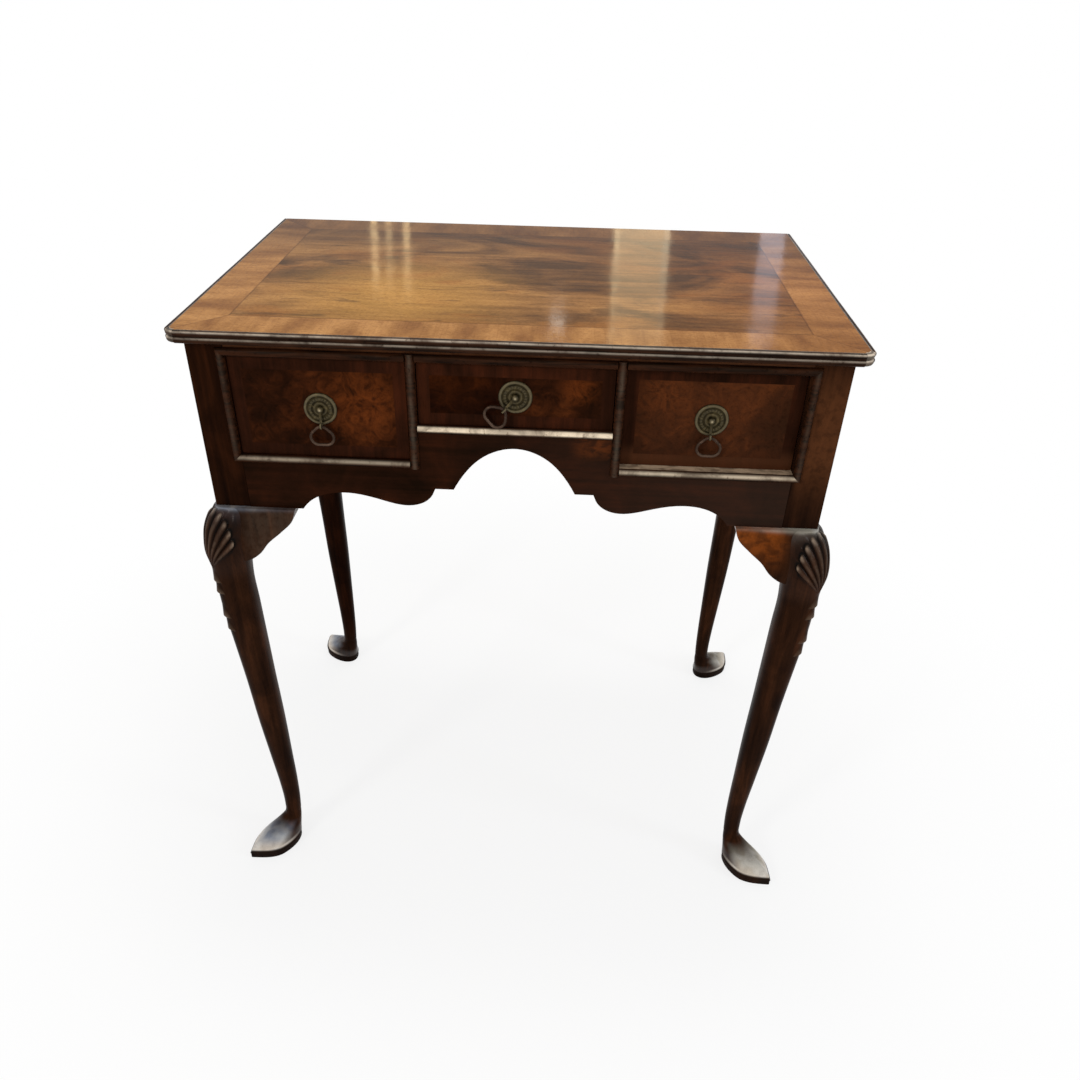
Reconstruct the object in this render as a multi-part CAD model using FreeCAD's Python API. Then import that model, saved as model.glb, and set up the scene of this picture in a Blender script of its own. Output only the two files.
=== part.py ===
import FreeCAD, Part

import math
import os

V = FreeCAD.Vector

# A small walnut lowboy on cabriole legs. Millimetres, +Z up, front faces -Y, X to the right.
# Origin: on the floor, in the middle of the object's width and depth.

# ---- case
CASE_WIDTH = 628.0
CASE_DEPTH = 412.0
CASE_BOTTOM = 529.5          # floor to the underside of the case
CASE_HEIGHT = 178.5          # underside of the case to underside of the top
POST = 37.0                  # square of the leg's post in the case corner
PANEL = 18.0                 # thickness of apron, rail and side panels
BACK_PANEL = 16.0
TENON = 18.0                 # length of a tenon into a post
TENON_THICKNESS = 8.0
TENON_SETBACK = 5.0          # outer face of a panel to the near face of its tenon
TENON_SHOULDER = 12.0        # a tenon stops this far short of its board's edges
RAIL_HEIGHT = 15.0           # top rail over the drawers
MUNTIN = 9.4                 # upright between two drawers, and the partition behind it
CENTRE_OPENING = 191.2       # width of the centre drawer's opening
SIDE_SILL = 61.1             # underside of the case to the sill of a side drawer
CENTRE_SILL = 100.0          # underside of the case to the sill of the centre drawer

# ---- top
TOP_FRONT_OVERHANG = 14.5
TOP_SIDE_OVERHANG = 15.0
TOP_BACK_OVERHANG = 8.7
TOP_CORE = 10.8              # thickness of the board under the veneer
VENEER = 1.2
MOULDING_WEB = 2.5           # flat back of the edge moulding
ROLL_RADIUS = 3.0            # each of the two rolls on the edge
CORNER_RADIUS = 10.0         # turned knuckle on the two front corners
CORNER_STEP = 1.6            # a knuckle stands back this far from the straight rolls
TOP_BAND = 50.0              # crossband on the top, out to the edge of the rolls
FIELD_LEAVES = 3             # leaves of veneer in the top's field

# ---- shaped lower edge of the apron, right half, from the post to the middle:
# distance from the middle line, rise above the underside of the case
APRON_WAVE = ((221.0, 0.0), (205.0, 14.5), (172.0, 21.0), (140.0, 15.0), (106.0, 9.2),
              (91.0, 14.7), (84.0, 22.5))
APRON_STEP = ((81.0, 29.5), (62.0, 29.5))      # small flat each side of the arch
APRON_ARCH = ((50.0, 49.0), (34.6, 65.3), (0.0, 77.9))

# ---- half-round beads round the drawer openings
BEAD_WIDTH = 8.4
BEAD_STAND = 4.2             # how far a bead stands out from the case front

# ---- drawers
DRAWER_PLAY = 0.8            # opening to drawer, all round
BEHIND_DRAWER = 24.0         # room behind a drawer that is home, filled by its stops
DRAWER_SETBACK = 2.0         # case front to the drawer's face
RIGHT_DRAWER_EXTRA = 7.5     # the right drawer stands this much further in
DRAWER_FRONT = 18.8          # board under the veneer
DRAWER_SIDE = 9.0
DRAWER_BACK = 10.0
DRAWER_BOTTOM = 6.0
BOTTOM_RAISE = 8.0           # lower edge of the sides to the underside of the bottom
GROOVE = 4.0                 # depth of the bottom's groove
SIDE_DROP = 4.0              # drawer sides stop this far below the front's top edge
DRAWER_BAND = 12.0           # crossband on a drawer front
TAIL_DEPTH = 12.0            # a front dovetail's length
TAIL_SHARE = 0.56            # a tail's root as a share of the pitch
TAIL_PITCH = 27.0            # a side has as many tails as this pitch allows
TAIL_SLOPE = 1.0 / 6.0
RUN_GAP = 0.4                # running gap under and behind a drawer

# ---- inside the case
RUNNER_WIDTH = 14.0
RUNNER_HEIGHT = 12.0
GUIDE_HEIGHT = 20.0
PARTITION_BELOW = 18.0       # the partition reaches this far below the side sill
BLOCK_RAISE = 5.0            # underside of the case to the lower end of a corner block
STOP_WIDTH = 24.0
STOP_HEIGHT = 22.0
BLOCK = 20.0                 # corner block, square
BLOCK_LENGTH = 40.0
SCREW_SHANK = 2.0
SCREW_HEAD = 4.0
SCREW_HEAD_HEIGHT = 2.6
SCREW_REACH = 7.0            # length of thread in the top
SCREW_INSET = 45.0           # screw to the end of its kicker

# ---- ring pulls
PLATE_RADIUS = 16.5
PLATE_THICKNESS = 1.5
PLATE_DISH = 0.5             # depth of the dished band inside the rim
PLATE_RIM = 3.0              # the rim round the dished band, and the ledge round the head
PIN_RADIUS = 2.1
PIN_PLAY = 0.06              # radial running clearance of the pin
HEAD_RADIUS = 3.8
HEAD_HEIGHT = 3.2
SEAT_GAP = 0.3               # head to plate, and nut to drawer front
LUG_WIDTH = 1.8
LUG_SHARE = 0.75             # the lug's depth as a share of the head's height
EYE_DROP = 15.9              # plate centre to the eye
EYE_HOLE = 2.5
EYE_WALL = 1.0
RING_WIDTH = 23.0            # over the middle of the wire: a triangle with its corners rounded
RING_HEIGHT = 19.2
RING_CORNER = 7.8            # radius of the three corners
RING_WIRE = 1.3
NUT_SIZE = 9.0
NUT_THICKNESS = 3.0
CENTRE_LUG_ANGLE = 42.0      # the centre pull lies over to the left on the bead below it
CENTRE_RING_ANGLE = 50.0

# ---- legs, measured outwards from the case corner on both sides alike
BRACKET_STAND = 5.4          # the top of the knee and its brackets stand out this far
# knee: drop below the case, inner face, outer face, squareness (superellipse power)
KNEE_SECTIONS = (
    (0.0, -POST, BRACKET_STAND, 3.4),
    (9.5, -36.0, 11.2, 3.0),
    (21.5, -34.0, 16.6, 2.7),
    (35.5, -31.2, 19.6, 2.5),
    (51.5, -28.2, 20.6, 2.4),
    (69.5, -25.2, 17.9, 2.5),
    (89.5, -23.6, 16.3, 2.6),
)
# shaft: height above the floor, inner face, outer face, squareness
SHAFT_SECTIONS = (
    (400.0, -24.4, 14.9, 2.6),
    (350.0, -25.0, 11.4, 2.6),
    (290.0, -25.8, 7.4, 2.5),
    (220.0, -27.2, 3.7, 2.4),
    (150.0, -27.6, -1.2, 2.2),
    (100.0, -27.7, -4.8, 2.1),
    (70.0, -27.2, -6.1, 2.0),
    (50.0, -26.2, -6.1, 2.0),
)
# foot, on its own diagonal: height, toe reach, heel reach, half-width, point (0 round, 1 sharp)
FOOT_SECTIONS = (
    (12.0, 48.2, -27.8, 23.2, 1.0),
    (17.0, 43.0, -28.6, 21.2, 0.95),
    (24.0, 31.5, -29.8, 18.0, 0.8),
    (32.0, 15.5, -31.0, 14.6, 0.55),
    (40.0, 0.0, -31.9, 11.7, 0.25),
)
SOLE_EDGE = 10.5             # height of the upright edge of the sole
TOE_REACH = 49.4             # diagonal reach of the toe's tip beyond the case corner
HEEL_REACH = -27.4
FOOT_HALF_WIDTH = 24.0
WIDEST_SHARE = 0.51          # the widest place of a foot, as a share of its length from the heel
SOLE_BEVEL = 1.6
SECTION_POINTS = 24          # points on each section of a leg

# ---- knee brackets: outline from the tip down to the leg: reach from the case corner, drop
BRACKET_DEPTH = 32.0
BRACKET_ROOT = -14.0         # the bracket runs in under the knee as far as this
BRACKET_SWELL = 0.72         # how far its face swells out to the knee's at the root
BRACKET_SLICES = 6
BRACKET_OUTLINE = (
    (-84.6, 0.0), (-79.6, 14.5), (-66.0, 28.5), (-52.0, 40.5), (-41.0, 54.0), (-27.0, 63.5),
)

# ---- how far a shape runs past the cut that trims it
CLEAR = 1.0
KNEE_TRIM = 5.0

# ---- derived places
FRONT = -CASE_DEPTH / 2.0
BACK = CASE_DEPTH / 2.0
HALF = CASE_WIDTH / 2.0
CASE_TOP = CASE_BOTTOM + CASE_HEIGHT
OPENING_OUTER = HALF - POST
CENTRE_HALF = CENTRE_OPENING / 2.0
SIDE_INNER = CENTRE_HALF + MUNTIN
SIDE_OPENING_BOTTOM = CASE_BOTTOM + SIDE_SILL
CENTRE_OPENING_BOTTOM = CASE_BOTTOM + CENTRE_SILL
OPENING_TOP = CASE_TOP - RAIL_HEIGHT
BACK_INNER = BACK - BACK_PANEL
DRAWER_DEPTH = CASE_DEPTH - DRAWER_SETBACK - BACK_PANEL - BEHIND_DRAWER
APRON_BACK = FRONT + PANEL
TOP_FACE = CASE_TOP + TOP_CORE + VENEER
MOULDING = MOULDING_WEB + ROLL_RADIUS
CORE_HALF = HALF + TOP_SIDE_OVERHANG - MOULDING
CORE_FRONT = FRONT - TOP_FRONT_OVERHANG + MOULDING
CORE_BACK = BACK + TOP_BACK_OVERHANG
EYE_RADIUS = EYE_HOLE + EYE_WALL
EYE_STAND = PLATE_THICKNESS + SEAT_GAP + EYE_RADIUS
RING_SAG = EYE_HOLE - RING_WIRE - SEAT_GAP       # a hanging ring lies low in its eye
SIDES = (("left", -1.0), ("right", 1.0))


def save(shape, node):
    """Write one sub-part."""
    shape.exportStep("parts/%s.step" % node)


def block(x0, x1, y0, y1, z0, z1):
    """A box between two corners given in any order."""
    low = V(min(x0, x1), min(y0, y1), min(z0, z1))
    return Part.makeBox(abs(x1 - x0), abs(y1 - y0), abs(z1 - z0), low)


def prism(points, direction):
    """A closed polygon pushed along a vector."""
    return Part.Face(Part.makePolygon([V(*p) for p in points] + [V(*points[0])])).extrude(direction)


def mirrored(shape, sign):
    """The shape itself for the right side, or its mirror image in X = 0 for the left."""
    if sign > 0:
        return shape
    return shape.mirror(V(0, 0, 0), V(1, 0, 0))


def tenon_x(x, sign, face, z0, z1):
    """A tenon that enters a post along X: face is the board's outer face, in Y."""
    inward = 1.0 if face < 0 else -1.0
    near = face + inward * TENON_SETBACK
    return block(x, x + sign * TENON, near, near + inward * TENON_THICKNESS,
                 z0 + TENON_SHOULDER, z1 - TENON_SHOULDER)


# ---------------------------------------------------------------- top

def make_top():
    """Board, veneered field, crossband and the rolled edge."""
    veneer_z = CASE_TOP + TOP_CORE
    board = block(-CORE_HALF, CORE_HALF, CORE_FRONT, CORE_BACK, CASE_TOP, veneer_z)
    for x, y in screw_places():
        board = board.cut(Part.makeCylinder(SCREW_SHANK, SCREW_REACH, V(x, y, CASE_TOP)))
    field_half = HALF + TOP_SIDE_OVERHANG - TOP_BAND
    field_front = FRONT - TOP_FRONT_OVERHANG + TOP_BAND
    field_back = CORE_BACK - TOP_BAND
    leaf = (field_back - field_front) / FIELD_LEAVES
    leaves = [block(-field_half, field_half, field_front + i * leaf, field_front + (i + 1) * leaf,
                    veneer_z, TOP_FACE) for i in range(FIELD_LEAVES)]
    inner = [(-field_half, field_front), (field_half, field_front), (field_half, field_back),
             (-field_half, field_back)]
    outer = [(-CORE_HALF, CORE_FRONT), (CORE_HALF, CORE_FRONT), (CORE_HALF, CORE_BACK),
             (-CORE_HALF, CORE_BACK)]
    # the crossband follows the knuckles of the edge, so its front corners are cut square there
    save(board.cut(corner_relief(CASE_TOP, veneer_z)), "top_board")
    save(Part.makeCompound(leaves), "top_field_veneer")
    save(banding(outer, inner, veneer_z, corner_relief(veneer_z, TOP_FACE)), "top_crossband")
    save(make_edge(), "top_edge_moulding")


def banding(outer, inner, z, relief):
    """Four mitred strips between two rectangles given corner by corner."""
    strips = []
    for i in range(len(outer)):
        j = (i + 1) % len(outer)
        ring = [outer[i], outer[j], inner[j], inner[i]]
        strips.append(prism([(x, y, z) for x, y in ring], V(0, 0, VENEER)).cut(relief))
    return Part.makeCompound(strips)


def knuckle_axis(sign):
    """Where the turned corner knuckle is centred."""
    reach = CORNER_RADIUS + CORNER_STEP
    return (sign * (HALF + TOP_SIDE_OVERHANG - reach), FRONT - TOP_FRONT_OVERHANG + reach)


def corner_relief(z0, z1):
    """What the board and the crossband lose at the two front corners, to seat the knuckles."""
    pieces = []
    for sign in (-1.0, 1.0):
        x, y = knuckle_axis(sign)
        square = block(x, sign * (CORE_HALF + CLEAR), y, CORE_FRONT - CLEAR, z0, z1)
        seat = Part.makeCylinder(CORNER_RADIUS - MOULDING, z1 - z0, V(x, y, z0))
        pieces.append(square.cut(seat))
    return Part.makeCompound(pieces)


def edge_profile():
    """Two half-round rolls, one over the other, on a flat web: (reach outwards, height) wire."""
    half = (TOP_FACE - CASE_TOP) / 2.0
    rise = half / 2.0
    points = [V(0, 0, CASE_TOP), V(MOULDING_WEB, 0, CASE_TOP)]
    edges = [Part.LineSegment(points[0], points[1]).toShape()]
    for i in range(2):
        low = V(MOULDING_WEB, 0, CASE_TOP + i * half)
        mid = V(MOULDING_WEB + ROLL_RADIUS, 0, CASE_TOP + i * half + rise)
        high = V(MOULDING_WEB, 0, CASE_TOP + (i + 1) * half)
        edges.append(Part.Arc(low, mid, high).toShape())
    edges.append(Part.LineSegment(V(MOULDING_WEB, 0, TOP_FACE), V(0, 0, TOP_FACE)).toShape())
    edges.append(Part.LineSegment(V(0, 0, TOP_FACE), V(0, 0, CASE_TOP)).toShape())
    return Part.Face(Part.Wire(edges))


def make_edge():
    """The rolled edge: a front length, two side lengths and two turned knuckles."""
    knuckle_x, knuckle_y = knuckle_axis(1.0)
    side = edge_profile()
    side.translate(V(CORE_HALF, knuckle_y, 0))
    side = side.extrude(V(0, CORE_BACK - knuckle_y, 0))
    front = edge_profile()
    front.rotate(V(0, 0, 0), V(0, 0, 1), -90)
    front.translate(V(-knuckle_x, CORE_FRONT, 0))
    front = front.extrude(V(2.0 * knuckle_x, 0, 0))
    knuckle = edge_profile()
    knuckle.translate(V(knuckle_x + CORNER_RADIUS - MOULDING, knuckle_y, 0))
    knuckle = knuckle.revolve(V(knuckle_x, knuckle_y, 0), V(0, 0, 1), -90)
    return Part.makeCompound([front, side, mirrored(side, -1.0), knuckle, mirrored(knuckle, -1.0)])


# ---------------------------------------------------------------- legs

def squarish(angle, middle, reach, power):
    """A point of a superellipse, on axes turned to the leg's diagonal and its across line."""
    turned = angle + math.pi / 4.0
    c, s = math.cos(turned), math.sin(turned)
    p = middle + reach * math.copysign(abs(c) ** (2.0 / power), c)
    q = middle + reach * math.copysign(abs(s) ** (2.0 / power), s)
    return (p + q) / math.sqrt(2.0), (q - p) / math.sqrt(2.0)


def teardrop(angle, toe, heel, half_width, point):
    """A point of the foot's plan: a half ellipse at the heel, a sine-sided point at the toe."""
    widest = heel + (toe - heel) * WIDEST_SHARE
    across = half_width * math.sin(angle)
    c = math.cos(angle)
    if c < 0.0:
        return widest + (widest - heel) * c, across
    wedge = 1.0 - abs(angle) / (math.pi / 2.0)
    return widest + (toe - widest) * ((1.0 - point) * c + point * wedge), across


def ring_of(points, z):
    """A closed smooth wire through (along, across) points at one height, in corner axes."""
    spline = Part.BSplineCurve()
    root = math.sqrt(2.0)
    spline.interpolate([V((t - w) / root, (t + w) / root, z) for t, w in points], PeriodicFlag=True)
    return Part.Wire(spline.toShape())


def angles():
    """Evenly spaced angles once round, from the heel past the toe at zero."""
    step = 2.0 * math.pi / SECTION_POINTS
    return [-math.pi + step * i for i in range(SECTION_POINTS)]


def shaft_wire(z, inner, outer, power):
    """One level of the knee and shaft."""
    middle, reach = (inner + outer) / 2.0, (outer - inner) / 2.0
    return ring_of([squarish(a, middle, reach, power) for a in angles()], z)


def foot_wire(z, toe, heel, half_width, point):
    """One level of the foot."""
    return ring_of([teardrop(a, toe, heel, half_width, point) for a in angles()], z)


def make_leg_body():
    """Knee, shaft, ankle and foot in corner axes: the case corner is at (0, 0), outwards is plus.
    The knee runs on a little above the case's underside, for trimming."""
    def sole_wire(z, inset):
        return foot_wire(z, TOE_REACH - inset, HEEL_REACH + inset, FOOT_HALF_WIDTH - inset, 1.0)

    knee = [shaft_wire(CASE_BOTTOM + KNEE_TRIM, *KNEE_SECTIONS[0][1:])]
    knee += [shaft_wire(CASE_BOTTOM - drop, *row) for drop, *row in KNEE_SECTIONS]
    shaft = Part.makeLoft(knee + [shaft_wire(*row) for row in SHAFT_SECTIONS], True, False)
    instep = [sole_wire(SOLE_EDGE, 0.0)] + [foot_wire(*row) for row in FOOT_SECTIONS]
    upper = Part.makeLoft(instep + [shaft_wire(*SHAFT_SECTIONS[-1])], True, False)
    edge = Part.makeLoft([sole_wire(SOLE_BEVEL, 0.0), sole_wire(SOLE_EDGE, 0.0)], True, True)
    tread = Part.makeLoft([sole_wire(0.0, SOLE_BEVEL), sole_wire(SOLE_BEVEL, 0.0)], True, True)
    return shaft.fuse([upper, edge, tread])


def post_box():
    """The square post above the knee, in corner axes."""
    return block(-POST, 0, -POST, 0, CASE_BOTTOM, CASE_TOP)


def place(shape, sign_x, sign_y):
    """From corner axes to a corner of the case: plus X right, plus Y back."""
    placed = shape.copy()
    if sign_x < 0:
        placed = placed.mirror(V(0, 0, 0), V(1, 0, 0))
    if sign_y < 0:
        placed = placed.mirror(V(0, 0, 0), V(0, 1, 0))
    placed.translate(V(sign_x * HALF, sign_y * CASE_DEPTH / 2.0, 0))
    return placed


def bracket_slice(reach):
    """The bracket's section at one reach: its face swells out towards the knee's, less so below."""
    tip = BRACKET_OUTLINE[0][0]
    share = (reach - tip) / (BRACKET_ROOT - tip)
    swell = BRACKET_SWELL * share * share * (3.0 - 2.0 * share)
    lowest = KNEE_SECTIONS[-1][0]
    face = Part.BSplineCurve()
    face.interpolate([V(reach, BRACKET_STAND + (outer - BRACKET_STAND) * swell
                        * (1.0 - (drop / lowest) ** 2), CASE_BOTTOM - drop)
                      for drop, inner, outer, power in KNEE_SECTIONS])
    front, rear = BRACKET_STAND, BRACKET_STAND - BRACKET_DEPTH
    high, low = CASE_BOTTOM + CLEAR, CASE_BOTTOM - lowest
    corners = [V(reach, front, low), V(reach, rear, low), V(reach, rear, high), V(reach, front, high),
               V(reach, front, CASE_BOTTOM)]
    return Part.Wire([face.toShape()] + [Part.LineSegment(a, b).toShape()
                                         for a, b in zip(corners, corners[1:])])


def bracket():
    """One knee bracket beside the leg, in corner axes: it runs inwards along X."""
    spline = Part.BSplineCurve()
    points = [V(reach, 0, CASE_BOTTOM - drop) for reach, drop in BRACKET_OUTLINE]
    spline.interpolate(points)
    rest = [points[-1], V(BRACKET_ROOT, 0, points[-1].z), V(BRACKET_ROOT, 0, CASE_BOTTOM), points[0]]
    face = Part.Face(Part.Wire([spline.toShape()] + [Part.LineSegment(a, b).toShape()
                                                     for a, b in zip(rest, rest[1:])]))
    face.translate(V(0, BRACKET_STAND - BRACKET_DEPTH - CLEAR, 0))
    outline = face.extrude(V(0, 2.0 * BRACKET_DEPTH, 0))
    root = BRACKET_ROOT + CLEAR
    step = (BRACKET_OUTLINE[0][0] - CLEAR - root) / (BRACKET_SLICES - 1)
    swelled = Part.makeLoft([bracket_slice(root + step * i) for i in range(BRACKET_SLICES)], True)
    return swelled.common(outline)


def make_legs():
    """Four legs and the brackets glued to their knees."""
    body = make_leg_body()
    along_x = bracket().cut(body)
    along_y = along_x.mirror(V(0, 0, 0), V(1, -1, 0))
    reach = 2.0 * POST
    body = body.cut(block(-reach, reach, -reach, reach, CASE_BOTTOM, CASE_BOTTOM + 2.0 * KNEE_TRIM))
    for end, sign_y in (("front", -1.0), ("back", 1.0)):
        for side, sign in SIDES:
            leg = place(body.fuse(post_box()), sign, sign_y)
            leg = leg.cut(Part.makeCompound(mortises()))
            save(leg, "leg_%s_%s" % (end, side))
            ears = [along_x, along_y] if end == "front" else [along_y]
            save(Part.makeCompound([place(ear, sign, sign_y) for ear in ears]),
                 "knee_brackets_%s_%s" % (end, side))


# ---------------------------------------------------------------- case

def apron_tenon(sign):
    """The apron's tenon in a front post."""
    return tenon_x(sign * OPENING_OUTER, sign, FRONT, CASE_BOTTOM, SIDE_OPENING_BOTTOM)


def back_tenon(sign):
    """The back panel's tenon in a back post."""
    return tenon_x(sign * OPENING_OUTER, sign, BACK, CASE_BOTTOM, CASE_TOP)


def side_tenon(sign, end):
    """A side panel's tenon in a post: end is -1 at the front, 1 at the back."""
    outer = sign * (HALF - TENON_SETBACK)
    shoulder = end * (CASE_DEPTH / 2.0 - POST)
    return block(outer, outer - sign * TENON_THICKNESS, shoulder, shoulder + end * TENON,
                 CASE_BOTTOM + TENON_SHOULDER, CASE_TOP - TENON_SHOULDER)


def mortises():
    """Everything that is let into the four posts."""
    cuts = []
    for sign in (-1.0, 1.0):
        cuts += [apron_tenon(sign), back_tenon(sign), side_tenon(sign, -1.0), side_tenon(sign, 1.0)]
    return cuts


def apron_curve(points):
    """A smooth edge through (distance from the middle, rise above the case's underside) points."""
    spline = Part.BSplineCurve()
    spline.interpolate([V(x, FRONT, CASE_BOTTOM + rise) for x, rise in points])
    return spline.toShape()


def apron_line(start, end):
    """A straight edge between two such points."""
    return Part.LineSegment(V(start[0], FRONT, CASE_BOTTOM + start[1]),
                            V(end[0], FRONT, CASE_BOTTOM + end[1])).toShape()


def apron_half_edge():
    """Edges of the apron's shaped lower line, from the post in to the arch, on the right."""
    return [apron_line((OPENING_OUTER, 0.0), APRON_WAVE[0]), apron_curve(APRON_WAVE),
            apron_line(APRON_WAVE[-1], APRON_STEP[0]), apron_line(*APRON_STEP)]


def apron_arch():
    """The round-headed arch in the middle, as one smooth edge."""
    right = (APRON_STEP[-1],) + APRON_ARCH[:-1]
    return apron_curve([(-x, rise) for x, rise in right] + [APRON_ARCH[-1]] + list(right[::-1]))


def make_apron():
    """The shaped front apron, raised in the middle under the centre drawer."""
    right = apron_half_edge()
    left = [e.mirror(V(0, 0, 0), V(1, 0, 0)) for e in right]
    top = [(OPENING_OUTER, CASE_BOTTOM), (OPENING_OUTER, SIDE_OPENING_BOTTOM),
           (CENTRE_HALF, SIDE_OPENING_BOTTOM), (CENTRE_HALF, CENTRE_OPENING_BOTTOM),
           (-CENTRE_HALF, CENTRE_OPENING_BOTTOM), (-CENTRE_HALF, SIDE_OPENING_BOTTOM),
           (-OPENING_OUTER, SIDE_OPENING_BOTTOM), (-OPENING_OUTER, CASE_BOTTOM)]
    upper = [Part.LineSegment(V(a[0], FRONT, a[1]), V(b[0], FRONT, b[1])).toShape()
             for a, b in zip(top, top[1:])]
    outline = Part.Wire(Part.__sortEdges__(right + [apron_arch()] + left + upper))
    board = Part.Face(outline).extrude(V(0, PANEL, 0))
    return board.fuse([apron_tenon(-1.0), apron_tenon(1.0)])


def make_case():
    """Panels, rail, muntins and partitions."""
    save(make_apron(), "front_apron")
    save(block(-OPENING_OUTER, OPENING_OUTER, FRONT, APRON_BACK, OPENING_TOP, CASE_TOP), "top_rail")
    back = block(-OPENING_OUTER, OPENING_OUTER, BACK_INNER, BACK, CASE_BOTTOM, CASE_TOP)
    save(back.fuse([back_tenon(-1.0), back_tenon(1.0)]), "back_panel")
    for side, sign in SIDES:
        panel = block(sign * HALF, sign * (HALF - PANEL), FRONT + POST, BACK - POST,
                      CASE_BOTTOM, CASE_TOP)
        save(panel.fuse([side_tenon(sign, -1.0), side_tenon(sign, 1.0)]), "side_panel_" + side)
        save(block(sign * CENTRE_HALF, sign * SIDE_INNER, FRONT, APRON_BACK,
                   SIDE_OPENING_BOTTOM, OPENING_TOP), "muntin_" + side)
        save(block(sign * CENTRE_HALF, sign * SIDE_INNER, APRON_BACK, BACK_INNER,
                   SIDE_OPENING_BOTTOM - PARTITION_BELOW, CASE_TOP), "partition_" + side)


def bead(start, end, width, mitre_start, mitre_end, toward):
    """A half-round bead between two (x, z) points on the case front, whose opening-side edge is
    the line between them and whose body lies toward a unit (x, z) direction; a mitred end is cut
    at 45 degrees, longer on the outside."""
    (x0, z0), (x1, z1) = start, end
    length = math.hypot(x1 - x0, z1 - z0)
    ux, uz = (x1 - x0) / length, (z1 - z0) / length
    tx, tz = toward
    grow0 = width if mitre_start else 0.0
    grow1 = width if mitre_end else 0.0
    ax, az = x0 - ux * grow0, z0 - uz * grow0
    mid = V(ax + tx * width / 2.0, FRONT - BEAD_STAND, az + tz * width / 2.0)
    near, far = V(ax, FRONT, az), V(ax + tx * width, FRONT, az + tz * width)
    profile = Part.Face(Part.Wire([Part.Arc(near, mid, far).toShape(),
                                   Part.LineSegment(far, near).toShape()]))
    bar = profile.extrude(V(ux, 0, uz) * (length + grow0 + grow1))
    plan = [(x0, z0), (x1, z1),
            (x1 + ux * grow1 + tx * width, z1 + uz * grow1 + tz * width),
            (x0 - ux * grow0 + tx * width, z0 - uz * grow0 + tz * width)]
    trim = prism([(x, FRONT + CLEAR, z) for x, z in plan], V(0, -BEAD_STAND - 2.0 * CLEAR, 0))
    return bar.common(trim)


def make_beads():
    """Beads round the three openings; the two on the muntins serve both neighbours."""
    beads = []
    low, top = SIDE_OPENING_BOTTOM, OPENING_TOP
    for sign in (-1.0, 1.0):
        inner, outer = sign * SIDE_INNER, sign * OPENING_OUTER
        beads.append(bead((outer, low), (outer, top), BEAD_WIDTH, True, True, (sign, 0)))
        beads.append(bead((inner, low), (outer, low), BEAD_WIDTH, False, True, (0, -1)))
        beads.append(bead((inner, top), (outer, top), BEAD_WIDTH, False, True, (0, 1)))
        beads.append(bead((sign * CENTRE_HALF, low - BEAD_WIDTH),
                          (sign * CENTRE_HALF, top + BEAD_WIDTH), MUNTIN, False, False, (sign, 0)))
    for z, toward in ((CENTRE_OPENING_BOTTOM, (0, -1)), (top, (0, 1))):
        beads.append(bead((-CENTRE_HALF, z), (CENTRE_HALF, z), BEAD_WIDTH, False, False, toward))
    save(Part.makeCompound(beads), "cock_beads")


def kicker_strips():
    """(low x, high x, front y) of the six strips over the drawers' sides, right half first."""
    strips = []
    for sign in (1.0, -1.0):
        strips.append((sign * (OPENING_OUTER - RUNNER_WIDTH), sign * (HALF - PANEL), FRONT + POST))
        strips.append((sign * SIDE_INNER, sign * (SIDE_INNER + RUNNER_WIDTH), APRON_BACK))
        strips.append((sign * (CENTRE_HALF - RUNNER_WIDTH), sign * CENTRE_HALF, APRON_BACK))
    return strips


def screw_places():
    """Two screws up through each kicker into the top."""
    places = []
    for x0, x1, y0 in kicker_strips():
        for y in (y0 + SCREW_INSET, BACK_INNER - POST - SCREW_INSET):
            places.append(((x0 + x1) / 2.0, y))
    return places


def screw(x, y):
    """A countersunk screw, head down, flush under its kicker."""
    head = Part.makeCone(SCREW_HEAD, SCREW_SHANK, SCREW_HEAD_HEIGHT, V(x, y, OPENING_TOP))
    length = CASE_TOP + SCREW_REACH - OPENING_TOP - SCREW_HEAD_HEIGHT
    return head.fuse(Part.makeCylinder(SCREW_SHANK, length, V(x, y, OPENING_TOP + SCREW_HEAD_HEIGHT)))


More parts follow.
